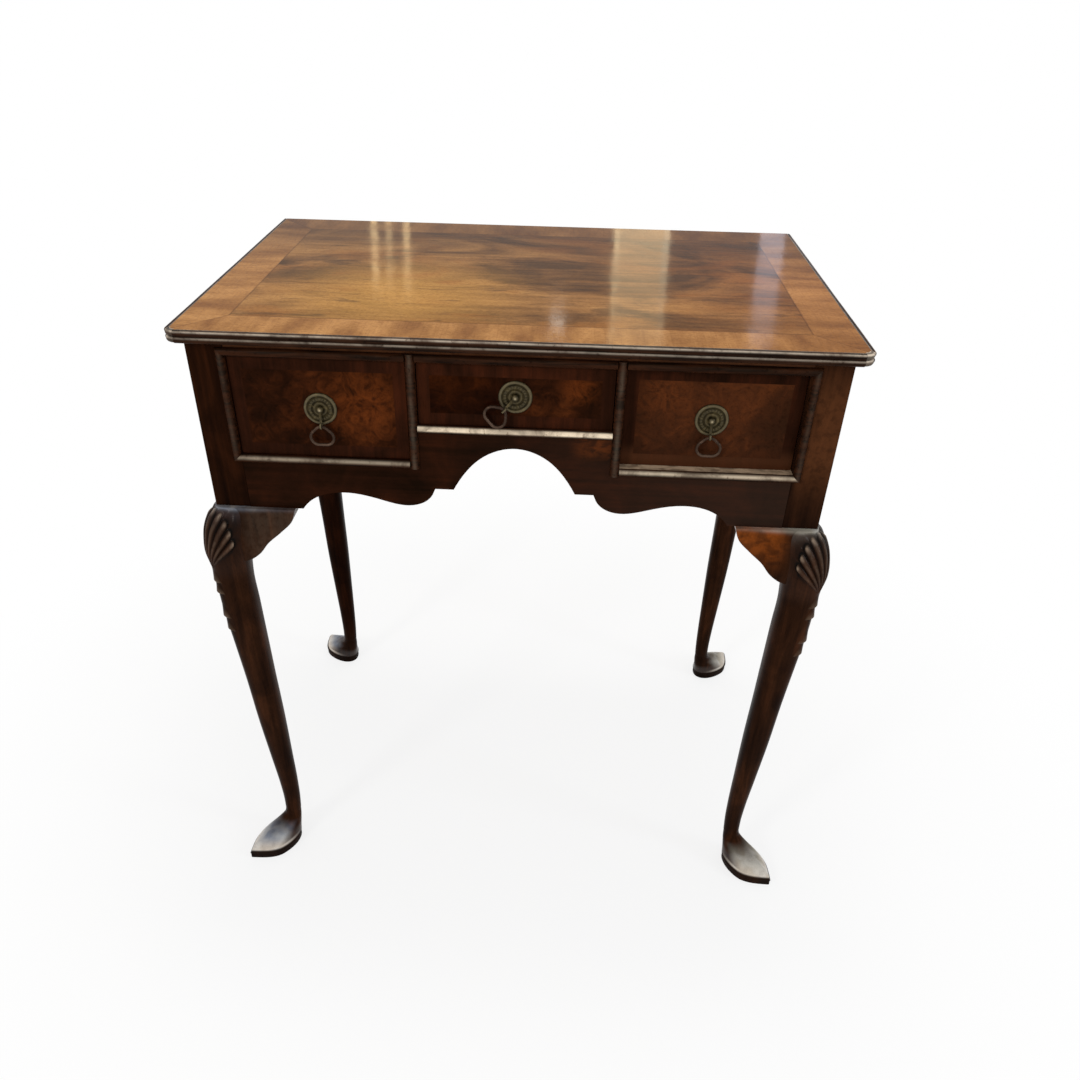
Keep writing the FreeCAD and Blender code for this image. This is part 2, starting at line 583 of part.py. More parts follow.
def make_fittings():
    """What holds, carries and stops the drawers inside the case."""
    runners, guides, blocks = [], [], []
    for sign in (-1.0, 1.0):
        side_z = SIDE_OPENING_BOTTOM
        runners.append(block(sign * (OPENING_OUTER - RUNNER_WIDTH), sign * (HALF - PANEL),
                             FRONT + POST, BACK - POST, side_z - RUNNER_HEIGHT, side_z))
        runners.append(block(sign * SIDE_INNER, sign * (SIDE_INNER + RUNNER_WIDTH),
                             APRON_BACK, BACK_INNER, side_z - RUNNER_HEIGHT, side_z))
        centre_z = CENTRE_OPENING_BOTTOM
        runners.append(block(sign * (CENTRE_HALF - RUNNER_WIDTH), sign * CENTRE_HALF,
                             APRON_BACK, BACK_INNER, centre_z - RUNNER_HEIGHT, centre_z))
        guides.append(block(sign * OPENING_OUTER, sign * (HALF - PANEL), FRONT + POST, BACK - POST,
                            side_z, side_z + GUIDE_HEIGHT))
        for y in (APRON_BACK, BACK_INNER - BLOCK):
            z = CASE_BOTTOM + BLOCK_RAISE
            blocks.append(block(sign * OPENING_OUTER, sign * (OPENING_OUTER - BLOCK), y, y + BLOCK,
                                z, z + BLOCK_LENGTH))
    kickers = []
    screws = [screw(x, y) for x, y in screw_places()]
    for i, (x0, x1, y0) in enumerate(kicker_strips()):
        y1 = BACK - POST if i % 3 == 0 else BACK_INNER
        kickers.append(block(x0, x1, y0, y1, OPENING_TOP, CASE_TOP).cut(Part.makeCompound(screws)))
    save(Part.makeCompound(runners), "drawer_runners")
    save(Part.makeCompound(guides), "drawer_guides")
    save(Part.makeCompound(kickers), "drawer_kickers")
    save(Part.makeCompound(screws), "top_screws")
    save(Part.makeCompound(blocks), "corner_blocks")


# ---------------------------------------------------------------- drawers

def tails(x0, x1, root_y, tip_y, z0, z1):
    """Dovetails on a drawer side: trapezoids in Y and Z, through the side's thickness."""
    count = max(1, int((z1 - z0) / TAIL_PITCH))
    pitch = (z1 - z0) / count
    spread = abs(tip_y - root_y) * TAIL_SLOPE
    half = TAIL_SHARE * pitch / 2.0
    shapes = []
    for i in range(count):
        middle = z0 + (i + 0.5) * pitch
        ring = [(x0, root_y, middle - half), (x0, tip_y, middle - half - spread),
                (x0, tip_y, middle + half + spread), (x0, root_y, middle + half)]
        shapes.append(prism(ring, V(x1 - x0, 0, 0)))
    return shapes


class Drawer:
    """Sizes of one drawer, worked out from its opening."""

    def __init__(self, name, low_x, high_x, sill, extra):
        self.name = name
        self.x0, self.x1 = low_x + DRAWER_PLAY, high_x - DRAWER_PLAY
        self.z0, self.z1 = sill + RUN_GAP, OPENING_TOP - DRAWER_PLAY
        self.face = FRONT + DRAWER_SETBACK + extra
        self.board = self.face + VENEER
        self.inner = self.board + DRAWER_FRONT
        self.rear = self.face + DRAWER_DEPTH
        self.side_top = self.z1 - SIDE_DROP
        self.middle_x = (low_x + high_x) / 2.0
        self.middle_z = (sill + OPENING_TOP) / 2.0

    def side(self, x0, x1):
        """One side with its front and back dovetails."""
        back_root = self.rear - DRAWER_BACK
        board = block(x0, x1, self.inner, back_root, self.z0, self.side_top)
        front = tails(x0, x1, self.inner, self.inner - TAIL_DEPTH, self.z0, self.side_top)
        back = tails(x0, x1, back_root, self.rear, self.panel_top(), self.side_top)
        lower = block(x0, x1, back_root, self.rear, self.z0, self.panel_top())
        return board.fuse(front + back + [lower])

    def panel_top(self):
        """Upper face of the bottom panel."""
        return self.z0 + BOTTOM_RAISE + DRAWER_BOTTOM

    def bottom(self):
        """The bottom panel, let into the front and sides, running under the back."""
        inset = DRAWER_SIDE - GROOVE
        return block(self.x0 + inset, self.x1 - inset, self.inner - GROOVE, self.rear,
                     self.z0 + BOTTOM_RAISE, self.panel_top())

    def build(self):
        """Write every board of the drawer and its front veneers."""
        pin = Part.makeCylinder(PIN_RADIUS + PIN_PLAY, DRAWER_FRONT + VENEER + 2.0 * CLEAR,
                                V(self.middle_x, self.face - CLEAR, self.middle_z), V(0, 1, 0))
        bottom = self.bottom()
        sides = [self.side(self.x0, self.x0 + DRAWER_SIDE), self.side(self.x1 - DRAWER_SIDE, self.x1)]
        front = block(self.x0, self.x1, self.board, self.inner, self.z0, self.z1)
        front = front.cut(Part.makeCompound(sides + [bottom, pin]))
        back = block(self.x0, self.x1, self.rear - DRAWER_BACK, self.rear, self.panel_top(),
                     self.side_top).cut(Part.makeCompound(sides))
        prefix = "drawer_%s_" % self.name
        save(front, prefix + "front")
        save(sides[0].cut(bottom), prefix + "side_left")
        save(sides[1].cut(bottom), prefix + "side_right")
        save(back, prefix + "back")
        save(bottom, prefix + "bottom")
        self.veneers(prefix, pin)

    def veneers(self, prefix, pin):
        """Burr field and crossband on the drawer front."""
        outer = [(self.x0, self.z0), (self.x1, self.z0), (self.x1, self.z1), (self.x0, self.z1)]
        band = DRAWER_BAND
        inner = [(self.x0 + band, self.z0 + band), (self.x1 - band, self.z0 + band),
                 (self.x1 - band, self.z1 - band), (self.x0 + band, self.z1 - band)]
        strips = []
        for i in range(len(outer)):
            j = (i + 1) % len(outer)
            ring = [outer[i], outer[j], inner[j], inner[i]]
            strips.append(prism([(x, self.face, z) for x, z in ring], V(0, VENEER, 0)))
        field = prism([(x, self.face, z) for x, z in inner], V(0, VENEER, 0)).cut(pin)
        save(field, prefix + "burr_veneer")
        save(Part.makeCompound(strips), prefix + "crossband")

    def stops(self):
        """Two blocks on the back panel that the drawer meets when it is home."""
        blocks = []
        for x in (self.x0 + DRAWER_SIDE, self.x1 - DRAWER_SIDE - STOP_WIDTH):
            z = self.panel_top()
            blocks.append(block(x, x + STOP_WIDTH, self.rear + RUN_GAP, BACK_INNER, z, z + STOP_HEIGHT))
        return blocks


def make_pull(drawer, lug_angle, ring_angle):
    """Back plate, swivelling pin with its eye and nut, and the ring; angles lean to the left."""
    centre = V(drawer.middle_x, drawer.face, drawer.middle_z)

    def out(distance):
        return centre + V(0, -distance, 0)

    prefix = "pull_%s_" % drawer.name
    rim = PLATE_RADIUS - PLATE_RIM
    plate = Part.makeCylinder(PLATE_RADIUS, PLATE_THICKNESS, centre, V(0, -1, 0))
    dish = Part.makeCylinder(rim, PLATE_DISH, out(PLATE_THICKNESS - PLATE_DISH), V(0, -1, 0))
    boss = Part.makeCylinder(HEAD_RADIUS + PLATE_RIM, PLATE_DISH, out(PLATE_THICKNESS - PLATE_DISH),
                             V(0, -1, 0))
    plate = plate.cut(dish.cut(boss))
    plate = plate.cut(Part.makeCylinder(PIN_RADIUS + PIN_PLAY, PLATE_THICKNESS, centre, V(0, -1, 0)))
    save(plate, prefix + "plate")
    save(make_pin(drawer, centre, lug_angle), prefix + "pin")
    drop = EYE_DROP + (RING_SAG if ring_angle == lug_angle else 0.0)
    ring = make_ring()
    ring.rotate(V(0, 0, 0), V(0, 1, 0), ring_angle)
    ring.translate(centre + V(-drop * math.sin(math.radians(lug_angle)), -EYE_STAND,
                              -drop * math.cos(math.radians(lug_angle))))
    save(ring, prefix + "ring")


def make_ring():
    """The ring, hanging from the origin: a round wire carried round three corners."""
    low = RING_HEIGHT - RING_CORNER
    half = RING_WIDTH / 2.0 - RING_CORNER
    centres = [V(0, 0, -RING_CORNER), V(half, 0, -low), V(-half, 0, -low)]
    normals = []
    for i, start in enumerate(centres):
        along = centres[(i + 1) % len(centres)] - start
        normals.append(V(-along.z, 0, along.x).normalize())
    edges = []
    for i, centre in enumerate(centres):
        before, after = normals[i - 1], normals[i]
        middle = V(before.x + after.x, 0, before.z + after.z).normalize()
        following = centres[(i + 1) % len(centres)]
        edges.append(Part.Arc(centre + before * RING_CORNER, centre + middle * RING_CORNER,
                              centre + after * RING_CORNER).toShape())
        edges.append(Part.LineSegment(centre + after * RING_CORNER,
                                      following + after * RING_CORNER).toShape())
    path = Part.Wire(edges)
    start = centres[0] + normals[-1] * RING_CORNER
    tangent = V(normals[-1].z, 0, -normals[-1].x)
    section = Part.Wire(Part.makeCircle(RING_WIRE, start, tangent))
    return path.makePipeShell([section], True, False)


def make_pin(drawer, centre, lug_angle):
    """The pin: domed head, lug and eye in front, shank through the drawer front, nut inside."""
    head_base = PLATE_THICKNESS + SEAT_GAP
    sphere_radius = (HEAD_RADIUS ** 2 + HEAD_HEIGHT ** 2) / (2.0 * HEAD_HEIGHT)
    sphere = Part.makeSphere(sphere_radius, V(0, -(head_base + HEAD_HEIGHT - sphere_radius), 0))
    keep = Part.makeCylinder(HEAD_RADIUS + CLEAR, HEAD_HEIGHT + CLEAR, V(0, -head_base, 0),
                             V(0, -1, 0))
    dome = sphere.common(keep)
    shank_end = DRAWER_FRONT + VENEER + SEAT_GAP + NUT_THICKNESS
    shank = Part.makeCylinder(PIN_RADIUS, head_base + HEAD_HEIGHT / 2.0 + shank_end,
                              V(0, shank_end, 0), V(0, -1, 0))
    half = LUG_WIDTH / 2.0
    lug = block(-half, half, -head_base, -(head_base + HEAD_HEIGHT * LUG_SHARE),
                -EYE_DROP + EYE_HOLE, 0)
    eye = Part.makeCylinder(EYE_RADIUS, LUG_WIDTH, V(-half, -EYE_STAND, -EYE_DROP), V(1, 0, 0))
    hole = Part.makeCylinder(EYE_HOLE, LUG_WIDTH + 2.0 * CLEAR,
                             V(-half - CLEAR, -EYE_STAND, -EYE_DROP), V(1, 0, 0))
    front = lug.fuse([eye, dome, shank]).cut(hole)
    front.rotate(V(0, 0, 0), V(0, 1, 0), lug_angle)
    nut_y = DRAWER_FRONT + VENEER + SEAT_GAP
    nut = block(-NUT_SIZE / 2.0, NUT_SIZE / 2.0, nut_y, nut_y + NUT_THICKNESS,
                -NUT_SIZE / 2.0, NUT_SIZE / 2.0)
    nut = nut.cut(Part.makeCylinder(PIN_RADIUS, NUT_THICKNESS, V(0, nut_y, 0), V(0, 1, 0)))
    both = Part.makeCompound([front, nut])
    both.translate(centre)
    return both


def make_drawers():
    """Three drawers with their pulls and stops."""
    drawers = [
        (Drawer("left", -OPENING_OUTER, -SIDE_INNER, SIDE_OPENING_BOTTOM, 0.0), 0.0, 0.0),
        (Drawer("centre", -CENTRE_HALF, CENTRE_HALF, CENTRE_OPENING_BOTTOM, 0.0),
         CENTRE_LUG_ANGLE, CENTRE_RING_ANGLE),
        (Drawer("right", SIDE_INNER, OPENING_OUTER, SIDE_OPENING_BOTTOM, RIGHT_DRAWER_EXTRA), 0.0, 0.0),
    ]
    stops = []
    for drawer, lug_angle, ring_angle in drawers:
        drawer.build()
        make_pull(drawer, lug_angle, ring_angle)
        stops += drawer.stops()
    save(Part.makeCompound(stops), "drawer_stops")


os.makedirs("parts", exist_ok=True)
make_top()
make_legs()
make_case()
make_beads()
make_fittings()
make_drawers()
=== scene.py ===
"""Visual model of a small walnut lowboy on cabriole legs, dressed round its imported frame.

The frame's axes are kept: +Z up, the front faces -Y, X to the right, the origin on the floor in
the middle of the piece. Sizes are in millimetres, and MM makes them metres in a mesh.
"""

from __future__ import annotations

import logging
import math
from dataclasses import dataclass, field
from enum import Enum
from functools import cached_property

import bmesh
import bpy
import numpy as np
from mathutils import Matrix, Vector


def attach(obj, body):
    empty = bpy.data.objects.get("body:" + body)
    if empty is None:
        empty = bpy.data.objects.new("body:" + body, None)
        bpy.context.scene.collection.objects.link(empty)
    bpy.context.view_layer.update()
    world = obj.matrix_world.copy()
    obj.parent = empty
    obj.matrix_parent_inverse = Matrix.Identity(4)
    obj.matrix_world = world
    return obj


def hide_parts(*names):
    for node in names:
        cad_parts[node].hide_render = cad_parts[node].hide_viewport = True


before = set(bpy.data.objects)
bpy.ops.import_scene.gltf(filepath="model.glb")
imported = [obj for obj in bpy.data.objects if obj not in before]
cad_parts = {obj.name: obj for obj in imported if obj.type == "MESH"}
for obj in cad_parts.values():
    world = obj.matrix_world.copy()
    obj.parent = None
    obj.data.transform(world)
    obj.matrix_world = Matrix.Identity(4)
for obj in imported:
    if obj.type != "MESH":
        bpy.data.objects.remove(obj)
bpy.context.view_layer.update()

MM = 0.001
ROOT2 = math.sqrt(2)
LOG = logging.getLogger("lowboy")

# driving sizes
HALF_WIDTH = 314             # case corner from the middle, left and right
HALF_DEPTH = 206             # case corner from the middle, front and back
CASE_BOTTOM = 529.5
CASE_TOP = 708
TOP_FACE = 720
POST = 37
FRONT = -HALF_DEPTH
OPENING_OUTER = HALF_WIDTH - POST
CENTRE_HALF = 95.6
MUNTIN = 9.4
SIDE_INNER = CENTRE_HALF + MUNTIN
SIDE_SILL = CASE_BOTTOM + 61.1
CENTRE_SILL = CASE_BOTTOM + 100
OPENING_TOP = CASE_TOP - 15
DRAWER_FACE = FRONT + 2
RIGHT_INSET = 7.5            # how much further in the right drawer stands
CENTRE_LUG_LEAN = 42         # degrees that the centre pull's pin is turned
CENTRE_RING_LEAN = 50        # degrees that its ring is turned, in all


class Side(Enum):
    """Left or right of the piece, as seen from the front."""

    LEFT = -1.0
    RIGHT = 1.0


class End(Enum):
    """Front or back of the piece."""

    FRONT = -1.0
    BACK = 1.0


class Axis(Enum):
    """The direction that the grain runs in."""

    X = 0
    Y = 1
    Z = 2


# curves and meshes

def smooth_curve(knots: np.ndarray, values: np.ndarray, at: np.ndarray) -> np.ndarray:
    """Smooth values between knots: a cubic on each span, whose slope at a knot is the mean of
    the two neighbouring slopes, each weighted by the other's span.

    Args:
        knots: Rising places of the known values.
        values: Known values, one per knot.
        at: Places to work out.

    Returns:
        The values at those places.
    """
    knots, values = np.asarray(knots, float), np.asarray(values, float)
    span = np.diff(knots)
    rise = np.diff(values) / span
    inside = (rise[:-1] * span[1:] + rise[1:] * span[:-1]) / (span[:-1] + span[1:])
    slope = np.concatenate([rise[:1], inside, rise[-1:]])
    i = np.clip(np.searchsorted(knots, at, side="right") - 1, 0, len(span) - 1)
    t = (at - knots[i]) / span[i]
    return (values[i] * (1 + 2 * t) * (1 - t) ** 2 + slope[i] * span[i] * t * (1 - t) ** 2
            + values[i + 1] * t * t * (3 - 2 * t) + slope[i + 1] * span[i] * t * t * (t - 1))


def smoothstep(value: np.ndarray) -> np.ndarray:
    """Zero below 0, one above 1, and 3t^2 - 2t^3 between."""
    t = np.clip(value, 0, 1)
    return t * t * (3 - 2 * t)


def rounded(edge: np.ndarray, radius: float) -> np.ndarray:
    """How far a quarter round of some radius lies back, by the distance from the edge."""
    near = np.clip(1 - edge / radius, 0, 1)
    return radius * (1 - np.sqrt(1 - near ** 2))


def bell(distance: np.ndarray, width: float) -> np.ndarray:
    """A bell: e to the power of minus (distance / width) squared."""
    return np.exp(-(distance / width) ** 2)


@dataclass
class Surface:
    """Grids of points that together make one mesh of closed skins, with named values."""

    points: list = field(default_factory=list)
    faces: list = field(default_factory=list)
    marks: dict = field(default_factory=dict)
    count: int = 0

    def _keep(self, xyz: np.ndarray, marks: dict) -> int:
        """Adds points and their values, and returns the number of the first.

        Args:
            xyz: The points.
            marks: Their values, by name.

        Returns:
            The number of the first.
        """
        first = self.count
        self.points.append(xyz.reshape(-1, 3))
        self.count += xyz.size // 3
        for name in {**self.marks, **marks}:
            held = self.marks.setdefault(name, [np.zeros(first)] if first else [])
            given = np.broadcast_to(np.asarray(marks.get(name, 0), float), xyz.shape[:-1])
            held.append(given.reshape(-1))
        return first

    def grid(self, x: np.ndarray, y: np.ndarray, z: np.ndarray, loop: bool = False,
             **marks: np.ndarray) -> None:
        """Adds rows of points, each row joined end to start.

        Args:
            x: Places to the right by row and column, in millimetres.
            y: Places backwards.
            z: Places upwards.
            loop: Joins the last row to the first, in place of a fan that closes each of them.
            marks: Values on the points, by name.
        """
        xyz = np.stack(np.broadcast_arrays(x, y, z), -1)
        rows, columns = xyz.shape[:2]
        base = self._keep(xyz, marks)
        i, j = np.arange(rows if loop else rows - 1)[:, None], np.arange(columns)[None, :]
        below, beside = (i + 1) % rows, (j + 1) % columns
        quads = np.stack([i * columns + j, i * columns + beside, below * columns + beside,
                          below * columns + j], -1)
        self.faces += (quads.reshape(-1, 4) + base).tolist()
        for row in () if loop else (0, rows - 1):
            middle = self._keep(xyz[row].mean(0)[None, :], {
                name: np.broadcast_to(value, xyz.shape[:2])[row].mean()
                for name, value in marks.items()})
            start = base + row * columns
            self.faces += np.stack([start + j[0], start + beside[0], np.full(columns, middle)],
                                   -1).tolist()

    def block(self, low: tuple, high: tuple, radius: float, **marks: float) -> None:
        """Adds a box with rounded upright edges and bevelled ends.

        Args:
            low: Lowest corner.
            high: Highest corner.
            radius: Radius of the upright edges.
            marks: Values on the points, by name.
        """
        low, high = np.array(low, float), np.array(high, float)
        bevel = radius * 0.7
        z = np.array([low[2], low[2] + bevel, high[2] - bevel, high[2]])[:, None]
        inset = np.array([bevel, 0, 0, bevel])[:, None]
        turn = np.radians(np.concatenate([np.linspace(a, a + 90, 5) for a in (0, 90, 180, 270)]))
        middle, half = (low + high) / 2, (high - low) / 2 - radius
        self.grid(middle[0] + np.repeat([1, -1, -1, 1], 5) * half[0]
                  + np.cos(turn) * (radius - inset),
                  middle[1] + np.repeat([1, 1, -1, -1], 5) * half[1]
                  + np.sin(turn) * (radius - inset), z, **marks)

    def turned(self, angle: float, centre: tuple) -> None:
        """Turns all points so far about the line through a centre, parallel to Y: a positive
        angle, in degrees, swings what hangs below the centre to the left.

        Args:
            angle: How far.
            centre: A point of the line.
        """
        c, s = math.cos(math.radians(angle)), math.sin(math.radians(angle))
        spin = np.array([[c, 0, s], [0, 1, 0], [-s, 0, c]])
        self.points = [(p - centre) @ spin.T + centre for p in self.points]

    def make(self, name: str, material: bpy.types.Material, slot: str, body: str, node: str,
             sharp: float = 38) -> None:
        """Makes the mesh object and ties it to the frame.

        Args:
            name: Name of the piece.
            material: Its finish.
            slot: The record's material slot; not used.
            body: The body that it rides on.
            node: The node that it stands for.
            sharp: Edges that bend by more than this, in degrees, are shaded as sharp.
        """
        mesh = bpy.data.meshes.new(name)
        mesh.from_pydata((np.concatenate(self.points) * MM).tolist(), [], self.faces)
        for mark, values in self.marks.items():
            held = mesh.attributes.new(mark, "FLOAT", "POINT")
            held.data.foreach_set("value", np.concatenate(values).astype(np.float32))
        whole = bmesh.new()
        whole.from_mesh(mesh)
        bmesh.ops.recalc_face_normals(whole, faces=whole.faces)
        whole.to_mesh(mesh)
        whole.free()
        mesh.polygons.foreach_set("use_smooth", np.ones(len(mesh.polygons), bool))
        mesh.set_sharp_from_angle(angle=math.radians(sharp))
        mesh.materials.append(material)
        piece = bpy.data.objects.new(name, mesh)
        bpy.context.scene.collection.objects.link(piece)
        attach(piece, body)
        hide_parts(node)
        LOG.info("%s: %d faces, rides on %s", name, len(mesh.polygons), body)


# shader graphs

def tint(colour: tuple) -> tuple:
    """A colour from its screen values, 0 to 255, as the shader wants it."""
    shares = [value / 255 for value in colour]
    return (*(v / 12.92 if v <= 0.04045 else ((v + 0.055) / 1.055) ** 2.4 for v in shares), 1.0)


def scaled(colour: tuple, share: float) -> tuple:
    """A darker or lighter colour, by a share of its screen values."""
    return tuple(min(255, value * share) for value in colour)


class Value:
    """One output of a shader node, which adds its own nodes in an expression."""

    def __init__(self, graph: Graph, socket: bpy.types.NodeSocket) -> None:
        """Holds the socket and its graph."""
        self.graph, self.socket = graph, socket

    def __add__(self, other: Value | float) -> Value:
        """Sum."""
        return self.graph.maths("ADD", self, other)

    __radd__ = __add__

    def __sub__(self, other: Value | float) -> Value:
        """Difference."""
        return self.graph.maths("SUBTRACT", self, other)

    def __rsub__(self, other: float) -> Value:
        """Difference, from the right."""
        return self.graph.maths("SUBTRACT", other, self)

    def __mul__(self, other: Value | float) -> Value:
        """Product."""
        return self.graph.maths("MULTIPLY", self, other)

    __rmul__ = __mul__

    def __abs__(self) -> Value:
        """Size without sign."""
        return self.graph.maths("ABSOLUTE", self)

    def most(self, other: Value | float) -> Value:
        """The greater of the two."""
        return self.graph.maths("MAXIMUM", self, other)

    def step(self, low: float, high: float) -> Value:
        """Smooth step from 0 at low to 1 at high; low may be the greater."""
        return self.graph.node("MapRange", {"interpolation_type": "SMOOTHSTEP"},
                               {"Value": self, "From Min": low, "From Max": high})

    def under(self, share: Value | float, colour: Value | tuple) -> Value:
        """This colour with another laid over it by a share."""
        return self.graph.mix(share, self, colour)

    def shaded(self, share: Value | float, colour: tuple) -> Value:
        """This colour, multiplied by another where the share is 1."""
        return self.graph.mix(share, self, colour, "MULTIPLY")


class Graph:
    """Builds the nodes of one finish. Places are in millimetres in the frame's axes, and a
    colour of three numbers is in screen values."""

    def __init__(self, tree: bpy.types.NodeTree) -> None:
        """Empties the tree."""
        self.tree = tree
        tree.nodes.clear()

    def node(self, kind: str, settings: dict | None = None, inputs: dict | None = None,
             output: int | str = 0) -> Value:
        """Adds any node.

        Args:
            kind: The node's type, less ShaderNode in front.
            settings: Its own properties, set first; "stops" fills a colour ramp.
            inputs: Values or links of its sockets, by name or number.
            output: The output wanted.

        Returns:
            That output.
        """
        made = self.tree.nodes.new("ShaderNode" + kind)
        for key, value in (settings or {}).items():
            if key == "stops":
                self._stops(made.color_ramp, value)
            else:
                setattr(made, key, value)
        for key, value in (inputs or {}).items():
            socket = made.inputs[key]
            if isinstance(value, Value):
                self.tree.links.new(value.socket, socket)
            elif socket.type == "RGBA" and len(value) == 3:
                socket.default_value = tint(value)
            else:
                socket.default_value = value
        return Value(self, made.outputs[output] if len(made.outputs) else None)

    def _stops(self, ramp: bpy.types.ColorRamp, stops: tuple) -> None:
        """Fills a colour ramp with (place, colour) stops.

        Args:
            ramp: The ramp.
            stops: Its stops, in order.
        """
        while len(ramp.elements) < len(stops):
            ramp.elements.new(1)
        for element, (place, colour) in zip(ramp.elements, stops):
            element.position, element.color = place, tint(colour)

    def maths(self, operation: str, *values: Value | float) -> Value:
        """One Math node."""
        return self.node("Math", {"operation": operation}, dict(enumerate(values)))

    @cached_property
    def place(self) -> Value:
        """The point's place in the frame, as a vector."""
        held = self.node("TexCoord", output="Object")
        return self.node("VectorMath", {"operation": "SCALE"}, {0: held, "Scale": 1 / MM})

    @cached_property
    def xyz(self) -> tuple:
        """The point's places along the three axes."""
        return tuple(self.node("SeparateXYZ", inputs={0: self.place}, output=axis.value)
                     for axis in Axis)

    def away(self, centre: tuple) -> Value:
        """The point's distance from a centre."""
        return self.node("VectorMath", {"operation": "DISTANCE"}, {0: self.place, 1: centre},
                         "Value")

    def mark(self, name: str) -> Value:
        """A value held on the mesh's points."""
        return self.node("Attribute", {"attribute_name": name}, output="Fac")

    def noise(self, size: tuple | float, seed: float = 0, detail: float = 3, rough: float = 0.5,
              warp: float = 0) -> Value:
        """Noise in lumps, about 0.3 to 0.7.

        Args:
            size: Size of a lump, or its sizes along X, Y and Z.
            seed: Chooses another stretch of the same noise.
            detail: Octaves of finer noise.
            rough: Strength of the finer octaves.
            warp: How far the lumps are dragged about.

        Returns:
            The noise.
        """
        sizes = size if isinstance(size, tuple) else (size,) * 3
        spot = self.node("VectorMath", {"operation": "MULTIPLY_ADD"}, {
            0: self.place, 1: tuple(1 / s for s in sizes), 2: (seed * 7.3, seed * 3.1, seed * 5.7)})
        return self.node("TexNoise", inputs={"Vector": spot, "Scale": 1, "Detail": detail,
                                             "Roughness": rough, "Distortion": warp})

    def grain(self, axis: Axis, length: float, width: float, seed: float = 0, detail: float = 4,
              warp: float = 0.6) -> Value:
        """Streaks that run along an axis: noise stretched to a length and a width."""
        sizes = tuple(length if way is axis else width for way in Axis)
        return self.noise(sizes, seed, detail, 0.55, warp)

    def pores(self, axis: Axis, seed: float = 0) -> Value:
        """Short fine dashes along the grain, 1 in a pore."""
        return self.grain(axis, 9, 0.55, seed, 2, 0.2).step(0.56, 0.7)

    def ramp(self, value: Value, *stops: tuple) -> Value:
        """A colour for each value, from (place, colour) stops."""
        return self.node("ValToRGB", {"stops": stops}, {0: value})

    def mix(self, share: Value | float, under: Value | tuple, over: Value | tuple,
            how: str = "MIX") -> Value:
        """Lays one colour over another by a share."""
        return self.node("Mix", {"data_type": "RGBA", "blend_type": how},
                         {0: share, 6: under, 7: over}, 2)

    def bump(self, *layers: tuple) -> Value:
        """Turns (height, its full range in millimetres) pairs into one normal.

        Args:
            layers: The pairs, the lowest first.

        Returns:
            The normal.
        """
        links = {}
        for height, distance in layers:
            links |= {"Height": height, "Distance": distance * MM, "Strength": 1}
            links["Normal"] = self.node("Bump", None, links)
        return links["Normal"]

    def surface(self, colour: Value, rough: Value, normal: Value, gloss: float,
                shine: tuple = (1, 1, 1, 1), **sockets: Value | float) -> None:
        """Ends the graph in one principled shader.

        Args:
            colour: Its colour.
            rough: Its roughness.
            normal: Its normal.
            gloss: Its specular level.
            shine: The tint of its gloss.
            sockets: More sockets; names use _ for a space.
        """
        sockets |= {"Base_Color": colour, "Roughness": rough, "Normal": normal,
                    "Specular_IOR_Level": gloss, "Specular_Tint": shine}
        shader = self.node("BsdfPrincipled", None, {
            key.replace("_", " "): value for key, value in sockets.items()})
        self.node("OutputMaterial", None, {"Surface": shader})


@dataclass(frozen=True)
class Finish:
    """A finish that is painted once and shared by its pieces."""

    name: str

    def material(self) -> bpy.types.Material:
        """Makes the material.

        Returns:
            The finished material.
        """
        made = bpy.data.materials.new(self.name)
        made.use_nodes = True
        self.paint(Graph(made.node_tree))
        return made

    def paint(self, g: Graph) -> None:
        """Builds the nodes; each finish has its own."""
        raise NotImplementedError


